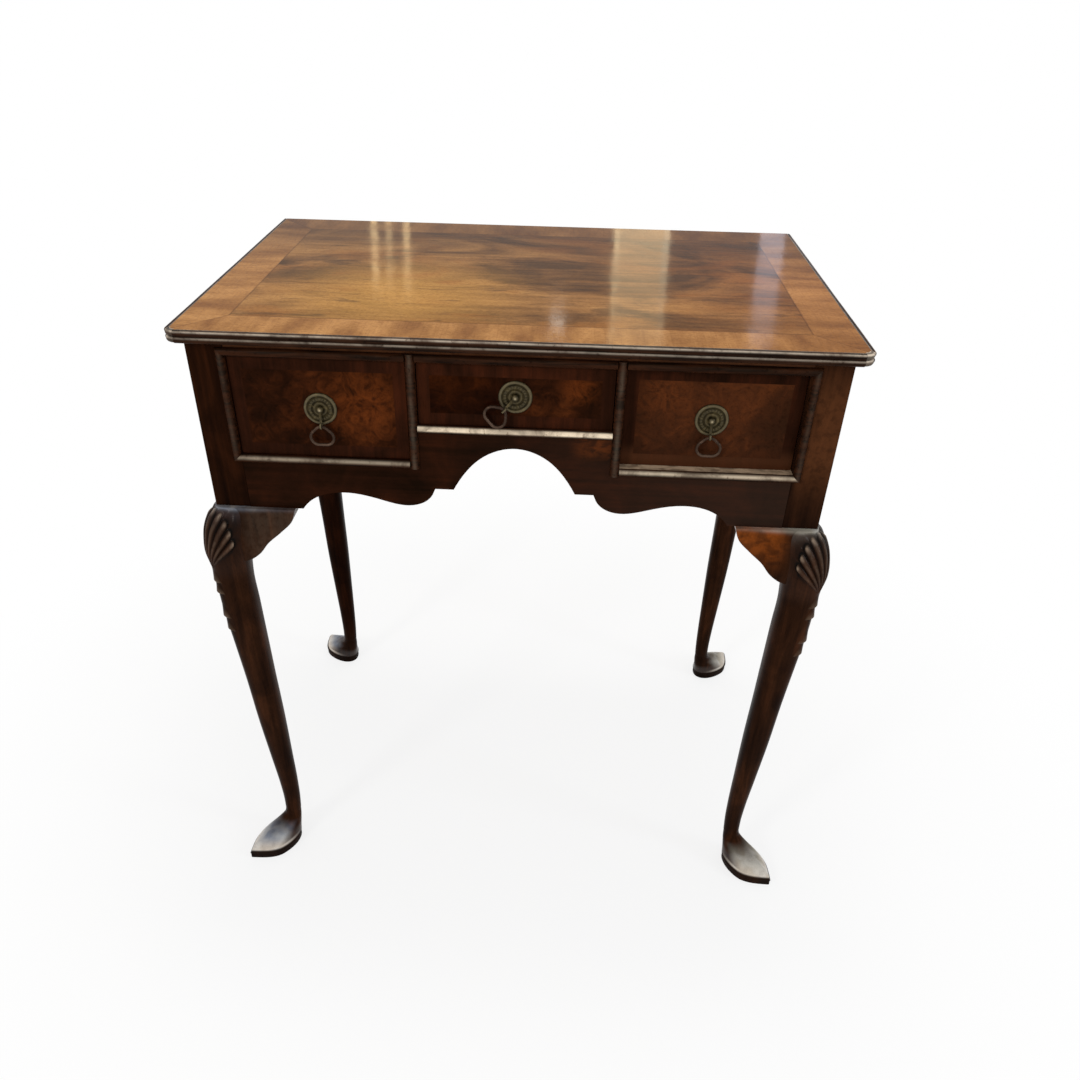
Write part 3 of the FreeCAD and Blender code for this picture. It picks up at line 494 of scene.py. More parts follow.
@dataclass(frozen=True)
class TopVeneer(Finish):
    """Old golden walnut of the top: three leaves with seams, stains and a worn polish."""

    banding: bool = False
    field_half: float = 279
    field_front: float = -170.5
    field_back: float = 164.7
    seams: tuple = (-58.8, 52.9)

    def band(self, g: Graph, mitre: Value) -> Value:
        """The crossband: grain outwards on each side, changing at the mitres.

        Args:
            g: Adds the nodes.
            mitre: Distance past the mitre, towards the side.

        Returns:
            The colour.
        """
        side = mitre.step(-0.6, 0.6)
        across = g.mix(side, g.grain(Axis.Y, 120, 5, 3), g.grain(Axis.X, 110, 6, 5))
        patches = g.mix(side, g.noise((34, 90, 40), 6), g.noise((90, 26, 40), 2))
        colour = g.ramp(across * 0.1 + patches * 0.9, (0.34, (142, 94, 50)),
                        (0.48, (168, 118, 66)), (0.57, (184, 132, 77)), (0.72, (198, 146, 88)))
        return colour.shaded(g.xyz[0].step(120, 330) * 0.25, (240, 226, 206)).shaded(
            abs(mitre).step(1.1, 0.3) * 0.5, (120, 90, 70))

    def leaves(self, g: Graph) -> Value:
        """The field: streaks and clouds that change at the seams, a golden patch, stains.

        Args:
            g: Adds the nodes.

        Returns:
            The colour.
        """
        y = g.xyz[1]
        first, last = self.seams
        clouds = g.noise((150, 80, 60), 4, 4, 0.55, 1.2)
        shift = y.step(first - 0.4, first + 0.4) * 0.04 - y.step(last - 0.4, last + 0.4) * 0.05
        tone = g.grain(Axis.X, 260, 6, 1, 5, 0.9) * 0.24 + clouds * 0.76 - shift
        gold = g.noise((120, 60, 50), 9, 4, 0.5, 0.8).step(0.5, 0.66)
        stains = g.noise((90, 22, 30), 12, 4, 0.6, 0.8).step(0.57, 0.68)
        seams = abs(y - first).step(1, 0.3) + abs(y - last).step(1, 0.3)
        return (g.ramp(tone, (0.36, (88, 59, 30)), (0.45, (123, 84, 45)), (0.54, (153, 108, 60)),
                       (0.66, (180, 131, 75)))
                .under(g.away((-130, -85, TOP_FACE)).step(170, 20) * 0.6, (206, 152, 72))
                .under(gold * 0.5, (160, 102, 44)).under(stains * 0.5, (70, 48, 30))
                .shaded(seams * 0.45, (120, 90, 70)))

    def paint(self, g: Graph) -> None:
        """Bands or leaves, darker to the back and the right; grain, flecks, pores, smudges.

        Args:
            g: Adds the nodes.
        """
        x, y, _ = g.xyz
        rim_x = abs(x) - self.field_half
        rim_y = abs(y - (self.field_front + self.field_back) / 2) - (
            self.field_back - self.field_front) / 2
        colour = self.band(g, rim_x - rim_y) if self.banding else self.leaves(g)
        slant = (x * 0.8 + y * 0.5).step(-40, 260) * (0.4 if self.banding else 0.8)
        fine = g.grain(Axis.Y if self.banding else Axis.X, 40, 1.6, 8, 3, 0.3)
        flecks = g.noise((3.4, 2, 3), 18, 4, 0.7, 0.3)
        colour = (colour.shaded(slant, (228, 200, 178))
                  .shaded(y.step(-30, 180), (182, 177, 172))
                  .shaded(x.step(60, 300) * y.step(20, -150), (236, 232, 226))
                  .shaded(abs(rim_x.most(rim_y)).step(1.3, 0.4) * 0.4, (110, 82, 64))
                  .shaded(fine.step(0.5, 0.75) * 0.3, (196, 176, 160))
                  .shaded(flecks.step(0.42, 0.66) * 0.5, (192, 180, 168))
                  .shaded(g.pores(Axis.X, 2) * 0.3, (130, 110, 100)))
        normal = g.bump((g.noise((60, 240, 80), 15, 2, 0.5, 0.6), 0.3),
                        (g.noise((90, 34, 80), 16, 2, 0.5, 0.4), 0.14),
                        (g.grain(Axis.X, 22, 1.1, 17, 2, 0.2), 0.012))
        g.surface(colour, g.noise(45, 6, 5, 0.6, 0.4) * 0.24 - 0.01, normal, 0.012,
                  (1, 0.85, 0.7, 1))


@dataclass(frozen=True)
class DarkWalnut(Finish):
    """Old dark walnut with a reddish cloud in it, polished but not bright."""

    axis: Axis = Axis.Z
    dark: tuple = (19, 8, 3)
    warm: tuple = (36, 16, 7)
    seed: float = 0

    def wear(self, g: Graph, colour: Value) -> Value:
        """What age did to it; plain here."""
        return colour

    def paint(self, g: Graph) -> None:
        """Dark streaks along the grain under slow warm clouds, fine pores and uneven polish.

        Args:
            g: Adds the nodes.
        """
        seed = self.seed
        tone = g.grain(self.axis, 190, 8, seed + 1) * 0.45 + g.noise(
            60, seed + 4, 4, 0.55, 0.9) * 0.55
        colour = g.ramp(tone, (0.36, self.dark), (0.52, self.warm), (0.68, scaled(self.warm, 1.45)))
        colour = colour.shaded(g.pores(self.axis, seed + 2) * 0.5, (120, 100, 90))
        normal = g.bump((g.noise(70, seed + 8, 2), 0.35),
                        (g.grain(self.axis, 24, 1, seed + 9, 2, 0.2), 0.015))
        g.surface(self.wear(g, colour), g.noise(28, seed + 6, 5, 0.6, 0.5) * 0.24 + 0.16, normal,
                  0.03, (1, 0.6, 0.4, 1))


@dataclass(frozen=True)
class ApronWalnut(DarkWalnut):
    """The apron and the rail over the drawers."""

    def wear(self, g: Graph, colour: Value) -> Value:
        """Greyer to the right, a painted haze of reflection, with a rubbed ledge under the right
        drawer, a warm flare beside the arch and a rail painted lighter against the shade under the
        top.

        Args:
            g: Adds the nodes.
            colour: The wood's own colour.

        Returns:
            The worn colour.
        """
        x, _, z = g.xyz
        rubbed = g.noise((16, 9, 9), self.seed + 3, 4, 0.6, 0.5).step(0.36, 0.62)
        ledge = x.step(SIDE_INNER - 2, SIDE_INNER) * z.step(SIDE_SILL - 1.6, SIDE_SILL - 0.6)
        ledge = ledge * z.step(SIDE_SILL + 2, SIDE_SILL + 1)
        flare = x.step(50, 76) * x.step(112, 88) * z.step(CENTRE_SILL + 4, CENTRE_SILL)
        flare = flare * z.step(CENTRE_SILL - 36, CENTRE_SILL - 18)
        # rail: painted lighter, as light, against the shade under the top
        rail = z.step(OPENING_TOP + 7, OPENING_TOP + 10)
        # greyer to the right: a painted haze of reflection
        return (colour.under(x.step(-120, 280) * 0.2, (74, 60, 52))
                .under(ledge * (rubbed * 0.6 + 0.4), (186, 160, 132))
                .under(flare * (rubbed * 0.4 + 0.1), (112, 56, 24))
                .under(rail * (rubbed * 0.3 + 0.45), (106, 66, 42)))


@dataclass(frozen=True)
class BandWalnut(DarkWalnut):
    """The crossbands of the drawers."""

    def wear(self, g: Graph, colour: Value) -> Value:
        """Lighter low on the right drawer.

        Args:
            g: Adds the nodes.
            colour: The wood's own colour.

        Returns:
            The worn colour.
        """
        x, _, z = g.xyz
        low = x.step(70, 110) * z.step(SIDE_SILL + 26, SIDE_SILL + 8)
        return colour.under(low * 0.5, (90, 53, 32))


@dataclass(frozen=True)
class BurrVeneer(Finish):
    """Reddish burr figure of the drawer fronts."""

    glows: tuple = (((-150, FRONT, 650), 58), ((146, FRONT, 666), 42), ((62, FRONT, 672), 24))

    def paint(self, g: Graph) -> None:
        """Swirled clouds and small eyes, light red-brown on near black.

        Args:
            g: Adds the nodes.
        """
        x = g.xyz[0]
        swirl = g.noise(20, 3, 6, 0.62, 2)
        colour = g.ramp(swirl * 0.4 + g.noise((70, 70, 60), 8, 2, 0.5, 0.6) * 0.6,
                        (0.38, (25, 10, 4)), (0.47, (38, 16, 6)), (0.56, (57, 26, 10)),
                        (0.68, (86, 42, 17)))
        colour = colour.shaded(x.step(-120, -100) - x.step(-30, 30), (170, 160, 150))
        for centre, reach in self.glows:
            glow = g.away(centre).step(reach, 4) * swirl.step(0.25, 0.65)
            colour = colour.under(glow * 0.6, (108, 52, 19))
        eyes = g.node("TexVoronoi", None, {"Vector": g.place, "Scale": 0.13, "Randomness": 1})
        grain = g.noise((3, 3, 2), 5, 3, 0.6, 1)
        colour = (colour.under(x.step(70, 150) * 0.22, (92, 56, 36))
                  .shaded(eyes.step(0.3, 0.05) * 0.35, (140, 110, 100))
                  .shaded(grain.step(0.5, 0.72) * 0.45, (150, 130, 120)))
        g.surface(colour, g.noise(25, 6, 5, 0.6, 0.5) * 0.24 + 0.16,
                  g.bump((g.noise(60, 7, 2), 0.3)), 0.03, (1, 0.6, 0.4, 1))


@dataclass(frozen=True)
class CarvedWalnut(Finish):
    """The legs: dark walnut, pale on the carving's crests as wear with a painted highlight, dark in
    its hollows as painted shade with grime.
    """

    def paint(self, g: Graph) -> None:
        """Streaks along the leg; pale where marked for wear and painted highlight, a painted sheen
        and reflection where marked for dust and sheen, near black where marked for grime and
        painted shade; the posts carry painted shade to the left and painted light in front on the
        right, and the back left leg is painted darker as shade.

        Args:
            g: Adds the nodes.
        """
        x, y, z = g.xyz
        tone = g.grain(Axis.Z, 170, 9, 21) * 0.5 + g.noise((40, 40, 70), 24, 4, 0.55, 0.8) * 0.5
        glow = g.noise((15, 15, 12), 27, 3, 0.5, 0.4).step(0.3, 0.6) * 0.6 + 0.35
        patchy = g.noise(9, 30, 4, 0.6).step(0.32, 0.58)
        low = z.step(27, 15.5)
        # painted reflection on the feet and ledges: bluish on the left and higher up, beige low
        # down, with painted highlight spots
        spots = g.noise((17, 17, 20), 39, 1, 0.4, 0.2).step(0.45, 0.65)
        glint = g.mix(x.step(-150, 150), g.mix(low, (146, 154, 168), (216, 204, 190)), g.mix(
            low, (170, 164, 150), (214, 202, 186))).under(spots * 0.4, (236, 234, 228))
        # post: the posts painted darker to the left, as shade
        post = z.step(CASE_BOTTOM - 0.5, CASE_BOTTOM + 0.5) * x.step(200, -200)
        # lit: painted light on the front of the right post
        lit = z.step(CASE_BOTTOM + 20, CASE_BOTTOM + 80) * z.step(CASE_TOP, CASE_TOP - 48)
        lit = lit * x.step(OPENING_OUTER, OPENING_OUTER + 7) * y.step(FRONT + 46, FRONT + 4)
        # corner: the back left leg painted darker, as shade
        corner = y.step(60, 150) * x.step(-100, -250) * z.step(35, 80)
        colour = (g.ramp(tone, (0.36, (24, 12, 7)), (0.52, (44, 24, 13)), (0.68, (66, 37, 21)))
                  .under(glow * g.mark("glow"), (138, 70, 25))
                  .under(g.mark("worn") * (patchy * 0.6 + 0.4), (138, 118, 100))
                  .under(g.mark("dust") * (patchy * 0.15 + 0.85), glint)
                  .under(g.mark("grime"), (10, 7, 6))
                  .shaded(g.pores(Axis.Z, 22) * 0.4, (130, 110, 100))
                  .shaded(post, (206, 188, 172))
                  .under(lit * (patchy * 0.2 + 0.13), (118, 70, 40))
                  .shaded(corner * 0.8, (150, 118, 100)))
        rough = g.noise((22, 22, 30), 26, 5, 0.6, 0.5) * 0.2 + 0.12 + g.mark("grime") * 0.35
        g.surface(colour, rough, g.bump((g.noise((26, 26, 60), 28, 2), 0.25)), 0.014,
                  (1, 0.8, 0.65, 1), Coat_Weight=g.mark("polish") * 0.5, Coat_Roughness=0.2)


@dataclass(frozen=True)
class WornHighlitMoulding(Finish):
    """Beads and edge rolls: dark in the hollows, pale tan along the crests as wear with a painted
    highlight.
    """

    dark: tuple = (36, 21, 13)
    pale: tuple = (214, 198, 178)

    def paint(self, g: Graph) -> None:
        """The mark for wear and painted highlight, broken up by noise, carries the pale colour.

        Args:
            g: Adds the nodes.
        """
        patchy = g.noise(34, 35, 5, 0.65, 0.8).step(0.3, 0.6)
        chips = g.noise(3.5, 37, 3, 0.6).step(0.6, 0.7)
        colour = (g.ramp(g.grain(Axis.X, 60, 4, 33), (0.38, scaled(self.dark, 0.7)),
                         (0.6, scaled(self.dark, 1.5)))
                  .under(g.mark("worn") * (patchy * 0.75 + 0.25), self.pale)
                  .shaded(chips * 0.6, (120, 95, 80)))
        g.surface(colour, g.noise(18, 36, 4, 0.6) * 0.25 + 0.16,
                  g.bump((g.noise(12, 38), 0.14)), 0.02)


@dataclass(frozen=True)
class OakLining(Finish):
    """Unpolished oak and deal of the insides."""

    axis: Axis = Axis.Y
    pale: tuple = (176, 138, 96)

    def paint(self, g: Graph) -> None:
        """Plain straight grain, dusty and open pored.

        Args:
            g: Adds the nodes.
        """
        streaks = g.grain(self.axis, 260, 6, 41)
        dirt = g.noise(60, 43, 5, 0.6)
        colour = (g.ramp(streaks, (0.34, scaled(self.pale, 0.62)), (0.52, scaled(self.pale, 0.86)),
                         (0.7, self.pale))
                  .shaded(dirt.step(0.45, 0.75), (180, 160, 140))
                  .shaded(g.pores(self.axis, 44) * 0.6, (120, 96, 76)))
        g.surface(colour, dirt * 0.3 + 0.5, g.bump((streaks, 0.25)), 0.3)


@dataclass(frozen=True)
class OldBrass(Finish):
    """Brass with a dark greenish patina, rubbed bright where hands touch it."""

    tones: tuple = ((32, 27, 13), (58, 49, 27), (86, 74, 46))
    rubbed: tuple = (196, 180, 146)

    def paint(self, g: Graph) -> None:
        """Patina by noise and the mark grime; bright metal by the mark worn.

        Args:
            Patina by noise and the grime mark; bright rubbed metal by the wear mark.
        """
        patina, bright = g.noise(5, 51, 5, 0.6, 0.4), g.mark("worn")
        worked = g.noise(3.2, 57, 3, 0.6, 0.5).step(0.32, 0.62)
        colour = (g.ramp(patina, *zip((0.36, 0.55, 0.7), self.tones)).under(bright, self.rubbed)
                  .under(g.mark("grime") * (worked * 0.55 + 0.15), (32, 27, 14)))
        g.surface(colour, patina * 0.3 + 0.3 - bright * 0.12, g.bump((g.noise(1.6, 53), 0.06)),
                  0.1, Metallic=bright * 0.35 + 0.55)


@dataclass(frozen=True)
class DullIron(Finish):
    """Hand-cut iron screws, dull and a little rusty."""

    def paint(self, g: Graph) -> None:
        """Grey iron under patches of rust.

        Args:
            g: Adds the nodes.
        """
        rust = g.noise(2.5, 61, 4, 0.6).step(0.45, 0.65)
        g.surface(g.mix(rust, (70, 68, 66), (96, 58, 38)), rust * 0.3 + 0.4,
                  g.bump((rust, 0.05)), 0.4, Metallic=0.8 - rust * 0.7)


@dataclass(frozen=True)
class PaleFloor(Finish):
    """Plain pale floor: near white to the eye, with the soft shadow kept."""

    pale: tuple = (0.9, 0.9, 0.9, 1)
    lift: float = 0.8

    def paint(self, g: Graph) -> None:
        """A matt floor, mixed with plain white where it is seen or mirrored, all white far off.

        Args:
            g: Adds the nodes.
        """
        share = g.away((0, 0, 0)).step(400, 1000) * (1 - self.lift) + self.lift
        matt = g.node("BsdfDiffuse", None, {"Color": self.pale})
        white = g.node("Emission", None, {"Color": (1, 1, 1, 1), "Strength": 1})
        both = g.node("MixShader", None, {0: seen_white(g) * share, 1: matt, 2: white})
        g.node("OutputMaterial", None, {"Surface": both})


def seen_white(g: Graph) -> Value:
    """One on the rays that see, mirror or shine through to the surround, and zero on others.

    Args:
        g: Adds the nodes.

    Returns:
        That share.
    """
    seen, mirrored, through = (g.node("LightPath", output=f"Is {ray} Ray")
                               for ray in ("Camera", "Glossy", "Transmission"))
    return seen.most(mirrored).most(through)


# legs

def slimmed(drop: np.ndarray) -> np.ndarray:
    """How much of its stand-out a knee keeps on its side face, which starts thinner on top."""
    return 0.45 + 0.55 * smoothstep(drop / 11)


@dataclass
class Piece:
    """A piece of the lowboy, made in its own finish."""

    finish: bpy.types.Material


@dataclass
class ShellCarving:
    """The carved shell on a front knee, and the chain of husks below it.

    u is the distance round the knee from its outer ridge, v the height above the shell's hinge.
    Lobe n, counted from the ridge outwards, points 9.6 n + 0.33 n^2 degrees off the upright, and
    its tip lies 69.5 - 20.5 (angle / 44)^1.3 from the hinge.
    """

    hinge: float = 458
    lobes: int = 4
    pitch: float = 9.6
    spread: float = 0.33
    reach: float = 69.5
    shorten: float = 20.5
    crest: float = 0.5
    groove: float = 2.8
    hollow: float = 2.2
    # top, bottom and stand of each husk
    husks: tuple = ((456, 440, 2), (440, 425, 2.3), (408, 391, 2.2), (388, 372, 1.8))

    def relief(self, u: np.ndarray, z: np.ndarray) -> tuple:
        """Height of the carving over the plain knee, its pale crests (wear with a painted
        highlight) and its dark grooves (painted shade with grime).

        Args:
            u: Distance round from the ridge.
            z: Height over the floor.

        Returns:
            Relief in millimetres, share of wear and painted highlight, and share of painted shade
            and grime.
        """
        v = z - self.hinge
        r = np.hypot(u, v)
        angle = np.degrees(np.arctan2(np.abs(u), v))
        index = (-self.pitch + np.sqrt(self.pitch ** 2 + 4 * self.spread * angle)) / (
            2 * self.spread)
        lobe = np.clip(np.round(index), 0, self.lobes)
        off = np.clip(np.abs(index - lobe) * 2, 0, 1)
        tip = self.reach - self.shorten * (np.minimum(angle, 60) / 44) ** 1.3
        half = np.radians(self.pitch + 2 * self.spread * index) / 2 * tip
        edge = tip - half * (1 - np.sqrt(np.clip(1 - off ** 2, 0, 1)))
        last = self.lobes + 0.5
        limit = self.pitch * last + self.spread * last ** 2
        beside = np.radians(np.maximum(angle - limit, 0)) * r
        away = np.hypot(np.maximum(r - edge, 0), beside)
        inside = smoothstep((edge - r) / 1.6 + 0.5) * smoothstep(1 - beside / 1.2)
        share = np.clip(r / tip, 0, 1)
        round_top = np.clip(1 - (off / 0.92) ** 2.2, 0, 1)
        lobes = self.crest * share ** 0.5 - self.groove * share ** 0.75 * (1 - round_top)
        ground = -self.hollow * bell(away, 6.5) * smoothstep(r / 34)
        relief = (lobes * inside + ground * (1 - inside)) * smoothstep((CASE_BOTTOM - z) / 2.5)
        # lobe tips made pale where they face up: wear with a painted highlight
        worn = inside * round_top ** 5 * (0.2 * smoothstep(share * 2) + 0.75 * smoothstep(
            (r - edge + 8) / 7))
        # dark ring round the shell: painted shadow
        around = (0.9 * bell(away, 2.2) + 0.5 * bell(away, 11)) * smoothstep(
            r / 40 - 0.2) * smoothstep((CASE_BOTTOM - 5 - z) / 9)
        # dark between the lobes: painted shade in the grooves, with grime
        grime = np.clip((1 - round_top) * inside * share * 1.2, 0, 1)
        grime = np.maximum(grime, (1 - inside) * around)
        for high, low, stand in self.husks:
            fall = np.clip((high - z) / (high - low), 0, 1)
            cross = np.clip(1 - (u / (3.5 + 5 * fall)) ** 2, 0, 1)
            leaf = stand * fall ** 1.2 * np.sqrt(cross) * smoothstep((z - low) / 1.2 + 0.5)
            leaf = np.where(z > high, 0, leaf)
            relief = relief + leaf
            # husks paler towards their lower ends: painted highlight with wear
            worn = np.maximum(worn, leaf / stand * fall * 0.5)
        return relief, worn, np.clip(grime, 0, 1)


@dataclass
class CabrioleLeg(Piece):
    """A leg and corner post in one: knee, tapering shaft and pointed pad foot.

    Places are measured from the case corner, outwards on both sides alike. A level of the knee
    and shaft is a superellipse between its inner and outer face; the foot's plan is half an
    ellipse at the heel and a sine-sided point at the toe.
    """

    side: Side
    end: End
    carving: ShellCarving | None
    dust: float
    # drop below the case, inner face, outer face, squareness
    knee: tuple = ((0, -37, 5.4, 3.4), (9.5, -36, 11.2, 3), (21.5, -34, 16.6, 2.7),
                   (35.5, -31.2, 19.6, 2.5), (51.5, -28.2, 20.6, 2.4), (69.5, -25.2, 17.9, 2.5),
                   (89.5, -23.6, 16.3, 2.6))
    # height over the floor, inner face, outer face, squareness
    shaft: tuple = ((400, -24.4, 14.9, 2.6), (350, -25, 11.4, 2.6), (290, -25.8, 7.4, 2.5),
                    (220, -27.2, 3.7, 2.4), (150, -27.6, -1.2, 2.2), (100, -27.7, -4.8, 2.1),
                    (70, -27.2, -6.1, 2), (50, -26.2, -6.1, 2))
    # height, toe reach, heel reach, half width, point
    foot: tuple = ((10.5, 49.4, -27.4, 24, 1), (12, 48.2, -27.8, 23.2, 1),
                   (17, 43, -28.6, 21.2, 0.95), (24, 29.5, -29.8, 17.8, 0.8),
                   (30, 13.5, -30.8, 14.9, 0.6), (36, -1.5, -31.5, 12.7, 0.35),
                   (42, -9.5, -32.1, 10.9, 0.12), (50, -12.7, -32.5, 9.9, 0))
    # height and inset of the sole's upright band, down to the tread
    sole: tuple = ((10, 0.2), (9.3, 0.7), (8.6, 0.9), (2.2, 0.7), (0.8, 1.3), (0, 2.2))
    knee_end: float = 440
    husk_end: float = 366
    ankle: float = 50
    widest: float = 0.51
    # sheen is the strength of the painted sheen on the foot's instep, rim the height of its painted
    # highlight band
    sheen: float = 0.9
    ledge_round: float = 1.6
    rim: float = 15.2
    band_top: float = 13.2

    def levels(self) -> np.ndarray:
        """Heights of the knee's and shaft's rows, top down, closer where there is carving.

        Returns:
            The heights.
        """
        fine = 0.6 if self.carving else 2.5
        ledge = self.ledge_round * np.array([-0.25, 0, 0.06, 0.22, 0.5, 0.8])
        return np.concatenate([CASE_BOTTOM - ledge,
                               np.arange(CASE_BOTTOM - self.ledge_round, self.knee_end, -fine),
                               np.arange(self.knee_end, self.husk_end, -max(fine, 0.8)),
                               np.arange(self.husk_end, self.ankle, -5), [self.ankle]])

    def turns(self) -> np.ndarray:
        """Angles once round, from the heel past the toe at zero, closer near the outer ridge.

        Returns:
            The angles.
        """
        count = 232 if self.carving else 96
        even = -math.pi + 2 * math.pi * np.arange(count) / count
        return even - 0.5 * np.sin(even)

    def shaft_rows(self, z: np.ndarray, turn: np.ndarray) -> tuple:
        """Superellipses |x|^n + |y|^n = 1 between the inner and outer faces, level by level; the
        top edge is rounded, and the first row closes the knee inside the post.

        Args:
            z: Heights.
            turn: Angles from the outer diagonal.

        Returns:
            Distances outwards along the two corner axes, by row and column.
        """
        table = np.array(sorted([(CASE_BOTTOM - row[0], *row[1:]) for row in self.knee]
                                + list(self.shaft)))
        inner, outer, power = (smooth_curve(table[:, 0], table[:, k], z)[:, None]
                               for k in (1, 2, 3))
        inset = np.where(z > CASE_BOTTOM, 8, rounded(CASE_BOTTOM - z, self.ledge_round))[:, None]
        middle, reach = (inner + outer) / 2, (outer - inner) / 2 - inset
        c, s = np.cos(turn + math.pi / 4)[None, :], np.sin(turn + math.pi / 4)[None, :]
        reach = reach * (np.abs(c) ** power + np.abs(s) ** power) ** (-1 / power)
        return middle + reach * c, middle + reach * s

    def foot_rows(self, toe: np.ndarray, heel: np.ndarray, half: np.ndarray, point: np.ndarray,
                  turn: np.ndarray) -> tuple:
        """The foot's plan at several levels.

        Args:
            toe: Reach of the toe along the diagonal, by level.
            heel: Reach of the heel.
            half: Half width.
            point: 0 for a round toe, 1 for a sharp one.
            turn: Angles from the toe.

        Returns:
            Distances outwards along the two corner axes, by row and column.
        """
        toe, heel, half, point = (np.asarray(v, float)[:, None] for v in (toe, heel, half, point))
        widest = heel + (toe - heel) * self.widest
        c = np.cos(turn)[None, :]
        wedge = 1 - np.abs(turn)[None, :] / (math.pi / 2)
        ahead = widest + (toe - widest) * ((1 - point) * c + point * wedge)
        along = np.where(c < 0, widest + (widest - heel) * c, ahead)
        across = half * np.sin(turn)[None, :]
        return (along - across) / ROOT2, (along + across) / ROOT2

    def build(self) -> None:
        """Makes the leg: the knee and its carving, the shaft, the foot, the sole, the post."""
        turn, z = self.turns(), self.levels()
        p, q = self.shaft_rows(z, turn)
        drop = (CASE_BOTTOM - z)[:, None]
        p = np.where(p > 0, p * slimmed(drop), p)
        worn, grime = np.zeros_like(p), np.zeros_like(p)
        if self.carving:
            step_p, step_q = np.gradient(p, axis=1), np.gradient(q, axis=1)
            length = np.hypot(step_p, step_q)
            ridge = int(np.argmin(np.abs(turn)))
            u = np.cumsum(length, axis=1)
            relief, worn, grime = self.carving.relief(u - u[:, ridge:ridge + 1], z[:, None])
            p, q = p + relief * step_q / length, q - relief * step_p / length
        # pale band under the case: painted highlight along the knee's top, with dust
        ledge = bell(drop, 2.4) + 0.12 * bell(drop, 11) + 0 * p
        grime = grime * np.clip(1 - ledge, 0, 1)
        low = np.concatenate([np.arange(self.ankle - 1, 16, -1), np.arange(16, 10.4, -0.5)])
        table = np.array(self.foot)
        foot = self.foot_rows(*(smooth_curve(table[:, 0], table[:, k], low) for k in (1, 2, 3, 4)),
                              turn)
        sole_z, inset = np.array(self.sole).T
        _, toe, heel, half, _ = self.foot[0]
        sole = self.foot_rows(toe - inset, heel + inset, half - inset, np.ones_like(inset), turn)
        z = np.concatenate([z, low, sole_z])
        p, q = (np.vstack(parts) for parts in zip((p, q), foot, sole))
        level, ahead = z[:, None], np.cos(turn)[None, :]
        plain = np.zeros((len(z) - len(worn), len(turn)))
        # a painted highlight band along the foot's rim, and a painted sheen over its instep
        rim = bell(level - self.rim, 1.9) * smoothstep(ahead + 0.9)
        instep = smoothstep((level - 13) / 1.5) * smoothstep((40 - level) / 20)
        sheen = np.maximum(self.sheen * instep * smoothstep(ahead * 1.1 + 0.5), rim * 0.95)
        band = (z[-len(plain):, None] < self.band_top) * 0.65 + plain
        polish = smoothstep((30 - level) / 10) * (level > self.band_top)
        surface = Surface()
        surface.grid(self.side.value * (HALF_WIDTH + p), self.end.value * (HALF_DEPTH + q), level,
                     worn=np.vstack([worn, plain]), grime=np.vstack([grime, band]),
                     polish=polish + 0.12 * smoothstep((level - self.knee_end) / 20),
                     dust=np.maximum(np.vstack([ledge * self.dust, plain]), sheen))
        corner = np.array([(self.side.value * HALF_WIDTH, self.end.value * HALF_DEPTH),
                           (self.side.value * OPENING_OUTER, self.end.value * (HALF_DEPTH - POST))])
        surface.block((*corner.min(0), CASE_BOTTOM), (*corner.max(0), CASE_TOP), 1.2)
        node = f"leg_{self.end.name.lower()}_{self.side.name.lower()}"
        surface.make(f"walnut_{node}", self.finish, "leg_walnut", "case", node)


